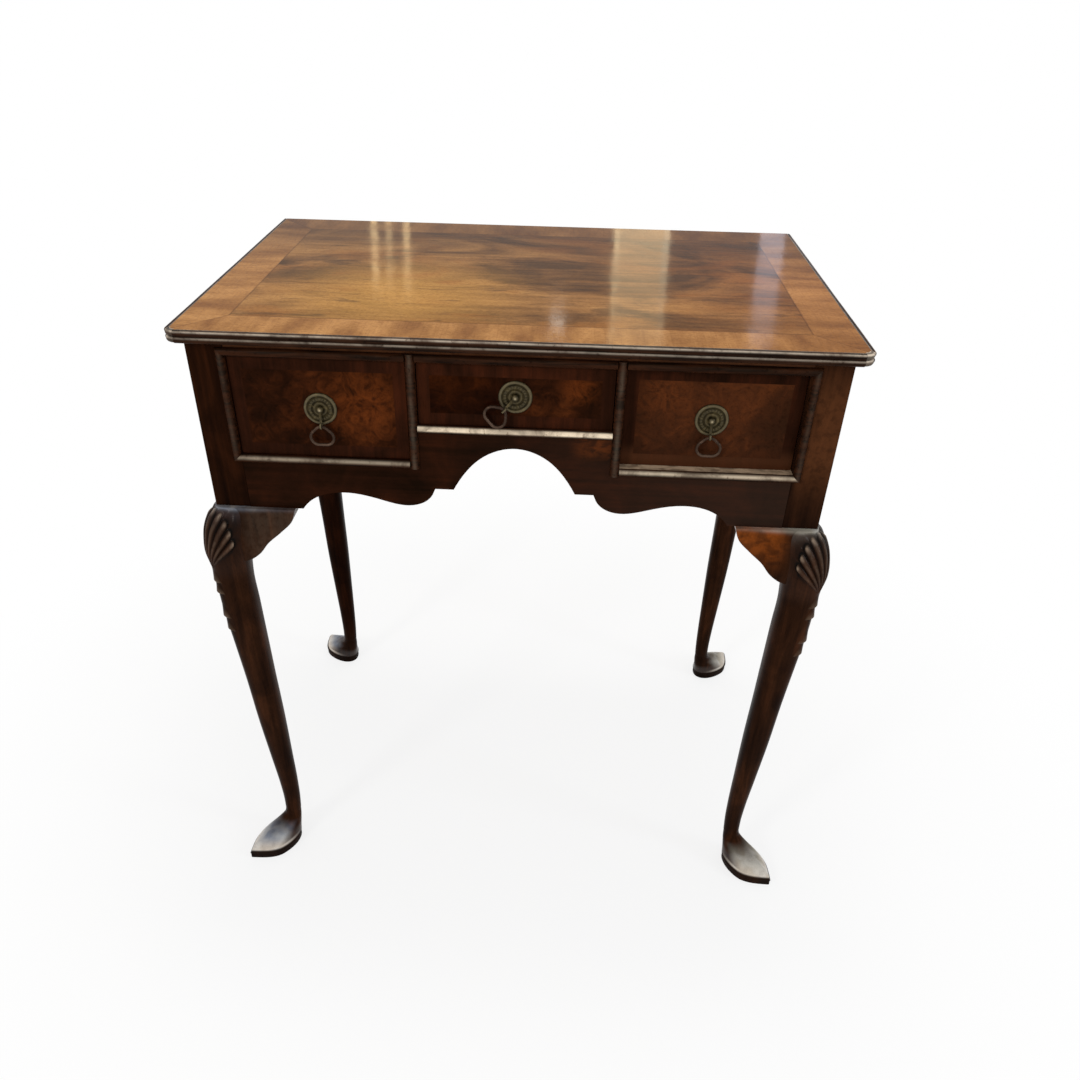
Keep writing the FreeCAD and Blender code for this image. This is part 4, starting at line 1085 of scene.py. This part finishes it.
@dataclass
class KneeEars(Piece):
    """The shaped ears glued beside a knee, whose faces swell out to meet it."""

    side: Side
    end: End
    # painted warm highlight; painted highlight with dust along the top edge; painted haze of
    # reflection
    glow: float
    dust: float
    reflected_haze: float
    stand: float = 5.4
    depth: float = 32
    root: float = -14
    swell: float = 0.72
    top_round: float = 1.6
    low_round: float = 3.2
    # tip down to the leg: reach from the case corner, drop below the case
    outline: tuple = ((-84.6, 0.6), (-79.6, 14.5), (-66, 28.5), (-52, 40.5), (-41, 54),
                      (-27, 63.5), (-14, 66))

    def face(self, reach: np.ndarray, drop: np.ndarray) -> np.ndarray:
        """How far the face stands out: its own stand, plus a share of the knee's swelling that
        grows from tip to root and dies away below.

        Args:
            reach: Distance from the case corner.
            drop: Distance below the case.

        Returns:
            The stand-out.
        """
        knee = np.array(CabrioleLeg.knee)
        tip = self.outline[0][0]
        swelling = smooth_curve(knee[:, 0], knee[:, 2], drop) - self.stand
        return self.stand + swelling * self.swell * smoothstep(
            (reach - tip) / (self.root - tip)) * (1 - (drop / knee[-1, 0]) ** 2)

    def section(self) -> tuple:
        """The ear as a loop carried from its tip to its root.

        Returns:
            Reach, stand-out and drop of each point, by row and column.
        """
        knots = np.array(self.outline)
        chord = np.concatenate([[0], np.cumsum(np.hypot(*np.diff(knots, axis=0).T))])
        at = np.linspace(0, chord[-1], 72)
        reach, drop = (smooth_curve(chord, knots[:, k], at)[:, None] for k in (0, 1))
        down = (1 - np.cos(np.linspace(0, math.pi, 34)))[None, :] / 2 * drop
        out = self.face(reach + 0 * down, down)
        for radius, edge in ((self.top_round, down), (self.low_round, drop - down)):
            out = out - rounded(edge, np.minimum(radius, drop / 2))
        rear = np.full_like(drop, self.stand - self.depth)
        return reach, np.hstack([out, rear, rear]), np.hstack([down, drop, 0 * drop])

    def build(self) -> None:
        """Makes the ears of one leg: on its side, and on the front of a front one."""
        reach, out, down = self.section()
        # pale top edge: painted highlight with dust; warm upper face: painted highlight; the haze:
        # painted reflection, fading towards the root
        ledge = bell(down, 2.4) * self.dust * (0.35 + 0.65 * smoothstep((reach + 72) / 45))
        glow = self.glow * smoothstep((-reach - 24) / 22) * smoothstep(1.25 - down / 46)
        reflected_haze = self.reflected_haze * smoothstep((-reach - 18) / 26)
        side = np.where(out > 0, out * slimmed(down), out)
        surface = Surface()
        on_front = [(reach, out)] if self.end is End.FRONT else []
        for p, q in (*on_front, (side, reach)):
            surface.grid(self.side.value * (HALF_WIDTH + p), self.end.value * (HALF_DEPTH + q),
                         CASE_BOTTOM - down, dust=ledge, glow=glow, worn=reflected_haze)
        node = f"knee_brackets_{self.end.name.lower()}_{self.side.name.lower()}"
        surface.make(f"walnut_{node}", self.finish, "leg_walnut", "case", node, 50)


# top edge and beads

@dataclass
class RolledEdge(Piece):
    """The edge of the top: two half-round rolls one over the other, with turned corner knuckles."""

    side_overhang: float = 15
    front_overhang: float = 14.5
    back_overhang: float = 8.7
    web: float = 2.5
    roll: float = 3
    knuckle: float = 10
    step: float = 1.6
    wobble: float = 0.13

    def profile(self) -> tuple:
        """Reach outwards and height of the rolls, and each point's share of wear and painted
        highlight.

        Returns:
            Three arrays, once round the profile.
        """
        turn = np.linspace(-math.pi / 2, math.pi / 2, 15)
        low = CASE_TOP + self.roll + self.roll * np.sin(turn)
        reach = self.web + self.roll * np.cos(turn)
        # pale crest turned towards the upper side: wear with a painted highlight
        worn = np.clip(np.cos(turn - 0.8), 0, 1) ** 20 * 0.7
        top = [(self.web - 0.5, TOP_FACE - 0.25, 0), (self.web - 1.1, TOP_FACE - 0.25, 0),
               (self.web - 1.6, TOP_FACE, 0.25), (0, TOP_FACE, 0.25)]
        return tuple(np.concatenate([[(0, CASE_TOP, 0)], np.stack([reach, low, worn * 0.75], -1),
                                     np.stack([reach, low + 2 * self.roll, worn], -1), top]).T)

    def uneven(self, along: np.ndarray, seed: float) -> np.ndarray:
        """Hand-planed unevenness: a few sines of unlike length.

        Args:
            along: Places along the edge.
            seed: Chooses the sines' starts.

        Returns:
            The unevenness.
        """
        return self.wobble * (np.sin(along / 31 + seed) + 0.7 * np.sin(along / 12.7 + 2 * seed)
                              + 0.5 * np.sin(along / 57 + 3 * seed)) / 1.6

    def straight(self, surface: Surface, start: tuple, end: tuple, outward: tuple,
                 seed: float) -> None:
        """One straight length of the rolls: the profile carried along a line.

        Args:
            surface: Where it goes.
            start: Plan place of the web's inner edge at one end.
            end: The same at the other end.
            outward: Unit plan direction that the rolls face.
            seed: Chooses its unevenness.
        """
        reach, height, worn = self.profile()
        start, end, outward = (np.array(v, float) for v in (start, end, outward))
        length = float(np.hypot(*(end - start)))
        along = np.linspace(0, length, max(8, int(length / 4)))
        along = np.concatenate([[0, 0.4, 1], along[1:-1], [length - 1, length - 0.4, length]])
        trim = 0.55 * np.exp(-np.minimum(along, length - along) / 0.5)
        share = smoothstep((reach - self.web) / 1.5)[None, :]
        sway = (self.uneven(along, seed) - trim)[:, None] * share
        plan = (start + np.outer(along, (end - start) / length))[:, None, :]
        plan = plan + (reach[None, :] + sway)[:, :, None] * outward
        surface.grid(plan[..., 0], plan[..., 1],
                     height + 0.3 * self.uneven(along, seed + 1.7)[:, None] * share, worn=worn)

    def build(self) -> None:
        """Makes the three lengths and the two knuckles, which turn the profile by a quarter."""
        surface = Surface()
        body = self.web + self.roll
        edge_x = HALF_WIDTH + self.side_overhang - body
        edge_y = FRONT - self.front_overhang + body
        axis_x = HALF_WIDTH + self.side_overhang - self.knuckle - self.step
        axis_y = FRONT - self.front_overhang + self.knuckle + self.step
        self.straight(surface, (-axis_x, edge_y), (axis_x, edge_y), (0, -1), 0)
        reach, height, worn = self.profile()
        turn = np.linspace(0, math.pi / 2, 20)[:, None]
        radius = self.knuckle - body + reach
        for side in Side:
            s = side.value
            self.straight(surface, (s * edge_x, axis_y),
                          (s * edge_x, HALF_DEPTH + self.back_overhang), (s, 0), 4 + s)
            # knuckles painted paler: wear with a painted highlight
            surface.grid(s * (axis_x + radius * np.sin(turn)), axis_y - radius * np.cos(turn),
                         height, worn=np.clip(worn * 2 + 0.17, 0, 1))
        surface.make("rolled_top_edge", self.finish, "edge_walnut", "case", "top_edge_moulding",
                     60)


@dataclass
class CockBeads(Piece):
    """Half-round beads round the three drawer openings."""

    width: float = 8.4
    stand: float = 4.2
    # how pale the crests are: wear with a painted highlight, strongest on the sills that face up
    over: float = 0.008
    outside: float = 0.025
    between: float = 0.05
    left_sill: float = 0.32
    right_sill: float = 0.6
    centre_sill: float = 2.2

    def bead(self, surface: Surface, start: tuple, end: tuple, toward: tuple, worn: float,
             mitres: tuple = (0, 0), width: float | None = None) -> None:
        """One bead: a half circle carried along the edge of an opening, longer by its mitres.

        Args:
            surface: Where it goes.
            start: (x, z) of one end on the opening's edge.
            end: (x, z) of the other end.
            toward: Unit (x, z) direction away from the opening.
            worn: How pale its crest is: wear with a painted highlight.
            mitres: Whether the start and the end are mitred.
            width: Width of the bead, if not the usual one.
        """
        start, end, toward = (np.array(v, float) for v in (start, end, toward))
        length = float(np.hypot(*(end - start)))
        turn = np.linspace(0, math.pi, 19)
        across = (width or self.width) / 2 * (1 - np.cos(turn))
        rows = np.linspace(0, 1, max(4, int(length / 6)))[:, None]
        begin, finish = -across * mitres[0], length + across * mitres[1]
        along = begin + rows * (finish - begin)
        plan = start + along[:, :, None] * (end - start) / length + across[:, None] * toward
        uneven = 0.16 * (np.sin(along / 23 + start[0]) + 0.6 * np.sin(along / 9.1))
        # the crest's painted highlight turned towards the upper side
        high = math.pi / 2 + 0.4 * toward[1]
        surface.grid(plan[..., 0], FRONT - np.sin(turn) * (self.stand + uneven), plan[..., 1],
                     worn=np.clip(np.clip(np.cos(turn - high), 0, 1) ** 9 * worn, 0, 1))

    def build(self) -> None:
        """Makes all ten beads."""
        surface = Surface()
        low, top = SIDE_SILL, OPENING_TOP
        for side in Side:
            s = side.value
            inner, outer, muntin = s * SIDE_INNER, s * OPENING_OUTER, s * CENTRE_HALF
            self.bead(surface, (outer, low), (outer, top), (s, 0), self.outside, (1, 1))
            self.bead(surface, (inner, low), (outer, low), (0, -1),
                      self.right_sill if side is Side.RIGHT else self.left_sill, (0, 1))
            self.bead(surface, (inner, top), (outer, top), (0, 1), self.over, (0, 1))
            self.bead(surface, (muntin, low - self.width), (muntin, top + self.width), (s, 0),
                      self.between, width=MUNTIN)
        for z, toward, worn in ((CENTRE_SILL, (0, -1), self.centre_sill),
                                (top, (0, 1), self.over)):
            self.bead(surface, (-CENTRE_HALF, z), (CENTRE_HALF, z), toward, worn)
        surface.make("drawer_opening_beads", self.finish, "bead_walnut", "case", "cock_beads", 60)


# ring pulls

@dataclass
class RingPull(Piece):
    """A round back plate, a domed pin with its lug and eye, and a ring hung in the eye."""

    wire_finish: bpy.types.Material
    name: str
    centre: tuple
    lean: float = 0
    ring_lean: float = 0
    plate_radius: float = 16.5
    plate_thickness: float = 1.5
    pin_radius: float = 2.1
    head_radius: float = 3.8
    head_height: float = 3.2
    seat_gap: float = 0.3
    eye_drop: float = 15.9
    eye_hole: float = 2.5
    eye_wall: float = 1
    lug_width: float = 1.8
    wire: float = 1.45
    ring_width: float = 23
    ring_height: float = 19.2
    ring_corner: float = 7.8
    board: float = 20
    nut: float = 9
    nut_thickness: float = 3
    sag: float = 0.9

    @property
    def base(self) -> float:
        """Where the head sits, out from the drawer's face."""
        return self.plate_thickness + self.seat_gap

    def spun(self, surface: Surface, rows: list, petals: int = 0, loop: bool = False) -> None:
        """A profile spun about the pull's axis.

        Args:
            surface: Where it goes.
            rows: Radius, distance out, depth of the dashes there, grime and worn share.
            petals: Dashes once round, pressed in where the profile says.
            loop: Joins the profile's end to its start, as on a pierced disc.
        """
        radius, out, pressed, grime, worn = np.array(rows, float).T[:, :, None]
        turn = np.linspace(0, 2 * math.pi, 97)[None, :-1]
        dash = np.clip(np.cos(petals * turn) * 2, -1, 1) * 0.5 + 0.5
        surface.grid(self.centre[0] + radius * np.cos(turn), self.centre[1] - out + pressed * dash,
                     self.centre[2] + radius * np.sin(turn), loop=loop, worn=worn,
                     grime=np.maximum(grime, (pressed > 0) * dash))

    def plate(self) -> None:
        """The back plate: a raised rim, a sunk band with pressed dashes, a raised boss."""
        hole, r, t = self.pin_radius + 0.06, self.plate_radius, self.plate_thickness
        rows = [(hole, 0, 0, 0.6, 0), (hole, t, 0, 0.6, 0), (4.4, t, 0, 0.5, 0),
                (6.2, t + 0.1, 0, 0.1, 0.0875), (6.9, t - 0.1, 0, 0.3, 0),
                (7.4, t - 0.6, 0, 0.9, 0), (8.6, t - 0.55, 0, 0.5, 0),
                (9, t - 0.05, 0, 0.2, 0.035),
                (9.5, t + 0.05, 0.5, 0, 0.07), (11.1, t + 0.05, 0.5, 0, 0.07),
                (11.6, t - 0.05, 0, 0.2, 0.035), (12, t - 0.55, 0, 0.6, 0),
                (13, t - 0.6, 0, 0.9, 0), (13.5, t, 0, 0.2, 0.035), (14.2, t + 0.35, 0, 0, 0.14),
                (15.2, t + 0.3, 0, 0, 0.14), (16.1, t - 0.25, 0, 0, 0.07), (r, 0.6, 0, 0.3, 0),
                (r, 0, 0, 0.5, 0)]
        surface = Surface()
        self.spun(surface, rows, 22, True)
        surface.make(f"brass_{self.name}_plate", self.finish, "antique_brass",
                     f"drawer_{self.name}", f"pull_{self.name}_plate")

    def pin(self) -> None:
        """The domed head, wedge-shaped lug and eye in front, shank and square nut behind."""
        surface, base = Surface(), self.base
        dome = [(self.head_radius * math.cos(a * math.pi / 2) + 0.02,
                 base + 0.3 + (self.head_height - 0.3) * math.sin(a * math.pi / 2), 0,
                 0.5 - 0.475 * a ** 5, 0.95 * a ** 5) for a in np.linspace(0, 1, 11)]
        self.spun(surface, [(0.05, base, 0, 0.5, 0), (self.head_radius, base, 0, 0.5, 0)] + dome)
        end = -(self.board + self.seat_gap + self.nut_thickness)
        self.spun(surface, [(radius, out, 0, 0.4, 0) for radius, out in (
            (0.05, end), (self.pin_radius - 0.3, end), (self.pin_radius, end + 0.4),
            (self.pin_radius, base + 0.5), (0.05, base + 0.5))])
        self._lug(surface)
        surface.turned(self.lean, self.centre)
        x, y, z = self.centre
        half, near = self.nut / 2, y + self.board + self.seat_gap
        surface.block((x - half, near, z - half), (x + half, near + self.nut_thickness, z + half),
                      0.5, grime=0.35)
        surface.make(f"brass_{self.name}_pin", self.finish, "antique_brass",
                     f"pull_{self.name}_swivel", f"pull_{self.name}_pin")

    def _lug(self, surface: Surface) -> None:
        """A wedge from the head down to the eye, and the eye as a flattened torus.

        Args:
            surface: Where it goes.
        """
        cx, cy, cz = self.centre
        drop = np.linspace(0, 1, 12)[:, None]
        turn = np.linspace(0, 2 * math.pi, 25)[None, :-1]
        square_x, square_y = (np.sign(v) * np.abs(v) ** 0.7 for v in (np.cos(turn), np.sin(turn)))
        surface.grid(cx + (1.7 - 0.5 * drop) * square_x,
                     cy - self.base - 1.3 - 0.9 * drop + (1.25 - 0.1 * drop) * square_y,
                     cz - drop * (self.eye_drop - self.eye_hole - 0.2), worn=0.08 * drop, grime=0.1)
        around = np.linspace(0, 2 * math.pi, 41)[:-1, None]
        radius = self.eye_hole + self.eye_wall / 2 * (1 + np.cos(turn))
        surface.grid(cx + self.lug_width / 2 * np.sin(turn),
                     cy - self.base - self.eye_hole - self.eye_wall - radius * np.cos(around),
                     cz - self.eye_drop + radius * np.sin(around), loop=True, worn=0.15, grime=0.1)

    def ring(self) -> None:
        """The ring: a round wire carried round a triangle with rounded corners.

        The path is three arcs about the corner centres, joined by straight runs; across the wire
        a point is its arc's normal times the cosine plus the pull's axis times the sine.
        """
        low, half = self.ring_height - self.ring_corner, self.ring_width / 2 - self.ring_corner
        corners = np.array([(0, -self.ring_corner), (half, -low), (-half, -low)])
        run = np.roll(corners, -1, axis=0) - corners
        facing = np.degrees(np.arctan2(run[:, 0], -run[:, 1]))
        points, normals = [], []
        for k in range(3):
            first, last = facing[k - 1], facing[k]
            turn = np.radians(np.linspace(first, last - 360 * (last > first), 22))
            normals.append(np.stack([np.cos(turn), np.sin(turn)], -1))
            points.append(corners[k] + normals[-1] * self.ring_corner)
        wire = np.linspace(0, 2 * math.pi, 21)[None, :-1]
        x, z = (np.concatenate(points)[:, None, :]
                + np.concatenate(normals)[:, None, :] * np.cos(wire)[..., None]
                * self.wire).transpose(2, 0, 1)
        lean = math.radians(self.lean)
        drop = self.eye_drop + (self.sag if self.lean == self.ring_lean else 0)
        hang = (self.centre[0] - drop * math.sin(lean),
                self.centre[1] - self.base - self.eye_hole - self.eye_wall,
                self.centre[2] - drop * math.cos(lean))
        surface = Surface()
        surface.grid(hang[0] + x, hang[1] + self.wire * np.sin(wire), hang[2] + z, loop=True,
                     worn=smoothstep((-z - 12) / 8) * 0.12 + 0.05, grime=0)
        surface.turned(self.ring_lean, hang)
        surface.make(f"brass_{self.name}_ring", self.wire_finish, "antique_brass",
                     f"pull_{self.name}_ring", f"pull_{self.name}_ring", 60)

    def build(self) -> None:
        """Makes the three parts of the pull; the ring has its own brass."""
        self.plate()
        self.pin()
        self.ring()


# carried-over boards

@dataclass
class Boards:
    """The flat boards of the frame, which keep their own meshes and get these finishes."""

    finishes: dict
    groups: tuple = (
        ("top_field", ("top_field_veneer",)),
        ("top_band", ("top_crossband",)),
        ("apron", ("front_apron", "top_rail")),
        ("sides", ("side_panel_left", "side_panel_right")),
        ("upright", ("muntin_left", "muntin_right")),
        ("lining_x", ("back_panel", "top_board", "drawer_stops")),
        ("lining_y", ("partition_left", "partition_right", "drawer_runners", "drawer_guides",
                      "drawer_kickers", "corner_blocks")),
        ("iron", ("top_screws",)),
    )
    drawer: tuple = (("burr", ("burr_veneer",)), ("drawer_band", ("crossband",)),
                     ("lining_x", ("front", "back", "bottom")),
                     ("lining_y", ("side_left", "side_right")))

    def dress(self) -> None:
        """Gives every board its finish, and the drawers theirs."""
        pairs = [(key, node) for key, nodes in self.groups for node in nodes]
        pairs += [(key, f"drawer_{name}_{part}") for name in ("left", "centre", "right")
                  for key, parts in self.drawer for part in parts]
        for key, node in pairs:
            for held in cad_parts[node].material_slots:
                held.material = self.finishes[key]
            LOG.info("%s: %s", node, self.finishes[key].name)


# studio

@dataclass
class Viewpoint:
    """Where the eye stands, how it is turned, and the frame of its image."""

    place: tuple = (0.0446, -1.0337, 1.0118)
    yaw: float = 0.0398
    pitch: float = -0.6182
    roll: float = -0.0206
    focal: float = 916.44        # in pixels of a square image
    image: float = 1080
    middle: tuple = (523.21, 601.15)
    sensor: float = 36

    def build(self) -> None:
        """Makes the camera: level and facing back, turned by its roll, pitch and yaw."""
        data = bpy.data.cameras.new("eye")
        data.sensor_width = self.sensor
        data.lens = self.focal * self.sensor / self.image
        data.shift_x = 0.5 - self.middle[0] / self.image
        data.shift_y = self.middle[1] / self.image - 0.5
        data.clip_start = 0.05
        place = Matrix.Translation(self.place)
        for angle, axis in ((self.yaw, "Z"), (self.pitch, "X"), (self.roll, "Y"),
                            (math.pi / 2, "X")):
            place = place @ Matrix.Rotation(angle, 4, axis)
        eye = bpy.data.objects.new("eye", data)
        eye.matrix_world = place
        bpy.context.scene.collection.objects.link(eye)
        bpy.context.scene.camera = eye


@dataclass
class Studio:
    """Plain pale floor, white surround, soft lamps, and thin lamps that the top mirrors."""

    surround: float = 0.58
    floor_half: float = 9
    # name, place, target, size, power, colour
    soft: tuple = (
        ("over", (0.1, 0.3, 2.6), (0, 0, 0.6), (0.9, 0.5), 15, (1, 0.98, 0.95)),
        ("front_left", (-1.7, -2.2, 1.9), (0, 0, 0.4), (0.5, 0.6), 22, (1, 0.98, 0.95)),
        ("right_window", (2.3, -0.9, 1.3), (0.2, 0, 0.4), (0.5, 0.9), 14, (0.86, 0.93, 1)),
    )
    # name, place across, height, size, power, colour
    mirrored: tuple = (
        ("door", 0.192, 0.96, (0.09, 0.34), 0.4, (1, 0.76, 0.42)),
        ("door_jamb", 0.143, 0.96, (0.012, 0.34), 0.085, (1, 0.8, 0.46)),
        ("door_edge", 0.243, 0.96, (0.012, 0.34), 0.06, (1, 0.84, 0.54)),
        ("bar_left", -0.352, 0.93, (0.013, 0.15), 0.036, (1, 0.72, 0.36)),
        ("bar_middle", -0.322, 0.93, (0.012, 0.15), 0.022, (1, 0.72, 0.36)),
        ("bar_right", -0.286, 0.93, (0.013, 0.16), 0.036, (1, 0.72, 0.36)),
        ("blue_pane", 0.455, 0.98, (0.05, 0.26), 0.12, (0.8, 0.82, 0.98)),
        ("bulb", 0.028, 1.072, (0.03, 0.03), 0.028, (1, 0.95, 0.85)),
    )
    behind: float = 0.9
    # place backwards and height of what the thin lamps face
    faced: tuple = (-0.2, 0.72)

    def build(self) -> None:
        """Makes the world, the floor and the lamps."""
        world = bpy.data.worlds.new("surround")
        bpy.context.scene.world = world
        world.use_nodes = True
        g = Graph(world.node_tree)
        sky = g.node("Background", None, {
            "Color": (1, 1, 1, 1), "Strength": seen_white(g) * (1 - self.surround) + self.surround})
        g.node("OutputWorld", None, {"Surface": sky})
        mesh, half = bpy.data.meshes.new("floor"), self.floor_half
        mesh.from_pydata([(-half, -half, 0), (half, -half, 0), (half, half, 0), (-half, half, 0)],
                         [], [(0, 1, 2, 3)])
        mesh.materials.append(PaleFloor("pale_floor").material())
        floor = bpy.data.objects.new("floor", mesh)
        bpy.context.scene.collection.objects.link(floor)
        for row in self.soft:
            self.lamp(*row)
        for name, x, z, size, power, colour in self.mirrored:
            self.lamp(name, (x, self.behind, z), (x, *self.faced), size, power, colour)

    def lamp(self, name: str, place: tuple, target: tuple, size: tuple, power: float,
             colour: tuple) -> None:
        """One soft rectangular lamp.

        Args:
            name: Its name.
            place: Where it hangs, in metres.
            target: What it faces.
            size: Its width and height.
            power: Watts.
            colour: Its colour.
        """
        data = bpy.data.lights.new(name, "AREA")
        data.shape = "RECTANGLE"
        data.size, data.size_y = size
        data.energy, data.color = power, colour
        lamp = bpy.data.objects.new(name, data)
        aim = (Vector(target) - Vector(place)).to_track_quat("-Z", "Y")
        lamp.matrix_world = Matrix.Translation(place) @ aim.to_matrix().to_4x4()
        lamp.visible_camera = False
        bpy.context.scene.collection.objects.link(lamp)


# the whole piece

def main() -> None:
    """Builds and dresses the lowboy, then its studio."""
    logging.basicConfig(level=logging.INFO, format="%(name)s: %(message)s")
    bpy.context.scene.view_settings.view_transform = "Standard"
    legs = CarvedWalnut("leg_walnut").material()
    # per side: the legs' ledge highlight with dust, and the ears' painted warm highlight, ledge
    # highlight with dust and painted reflected haze
    for side, ledge, ear in ((Side.LEFT, 0.5, (0, 0.3, 0.11)), (Side.RIGHT, 0.65, (0.85, 0.5, 0))):
        for end in End:
            CabrioleLeg(legs, side, end, ShellCarving() if end is End.FRONT else None,
                        ledge).build()
            KneeEars(legs, side, end, *ear).build()
    RolledEdge(WornHighlitMoulding("edge_walnut").material()).build()
    CockBeads(WornHighlitMoulding("bead_walnut", (36, 19, 10), (255, 234, 204)).material()).build()
    brasses = (OldBrass("old_brass").material(),
               OldBrass("ring_brass", ((34, 24, 18), (56, 41, 32), (84, 64, 52)),
                        (158, 130, 110)).material())
    middle = (SIDE_INNER + OPENING_OUTER) / 2
    side_z, centre_z = (SIDE_SILL + OPENING_TOP) / 2, (CENTRE_SILL + OPENING_TOP) / 2
    RingPull(*brasses, "left", (-middle, DRAWER_FACE, side_z)).build()
    RingPull(*brasses, "centre", (0, DRAWER_FACE, centre_z), CENTRE_LUG_LEAN,
             CENTRE_RING_LEAN).build()
    RingPull(*brasses, "right", (middle, DRAWER_FACE + RIGHT_INSET, side_z)).build()
    Boards({
        "top_field": TopVeneer("top_field").material(),
        "top_band": TopVeneer("top_band", banding=True).material(),
        "apron": ApronWalnut("apron_walnut", Axis.X, seed=2).material(),
        "sides": DarkWalnut("side_walnut", seed=11).material(),
        "upright": DarkWalnut("muntin_walnut", seed=5).material(),
        "burr": BurrVeneer("burr_walnut").material(),
        "drawer_band": BandWalnut("drawer_band", Axis.Z, (26, 11, 5), (44, 20, 10), 7).material(),
        "lining_x": OakLining("oak_lining_x", Axis.X).material(),
        "lining_y": OakLining("oak_lining_y").material(),
        "iron": DullIron("dull_iron").material(),
    }).dress()
    Studio().build()
    Viewpoint().build()


if __name__ == "__main__":
    main()
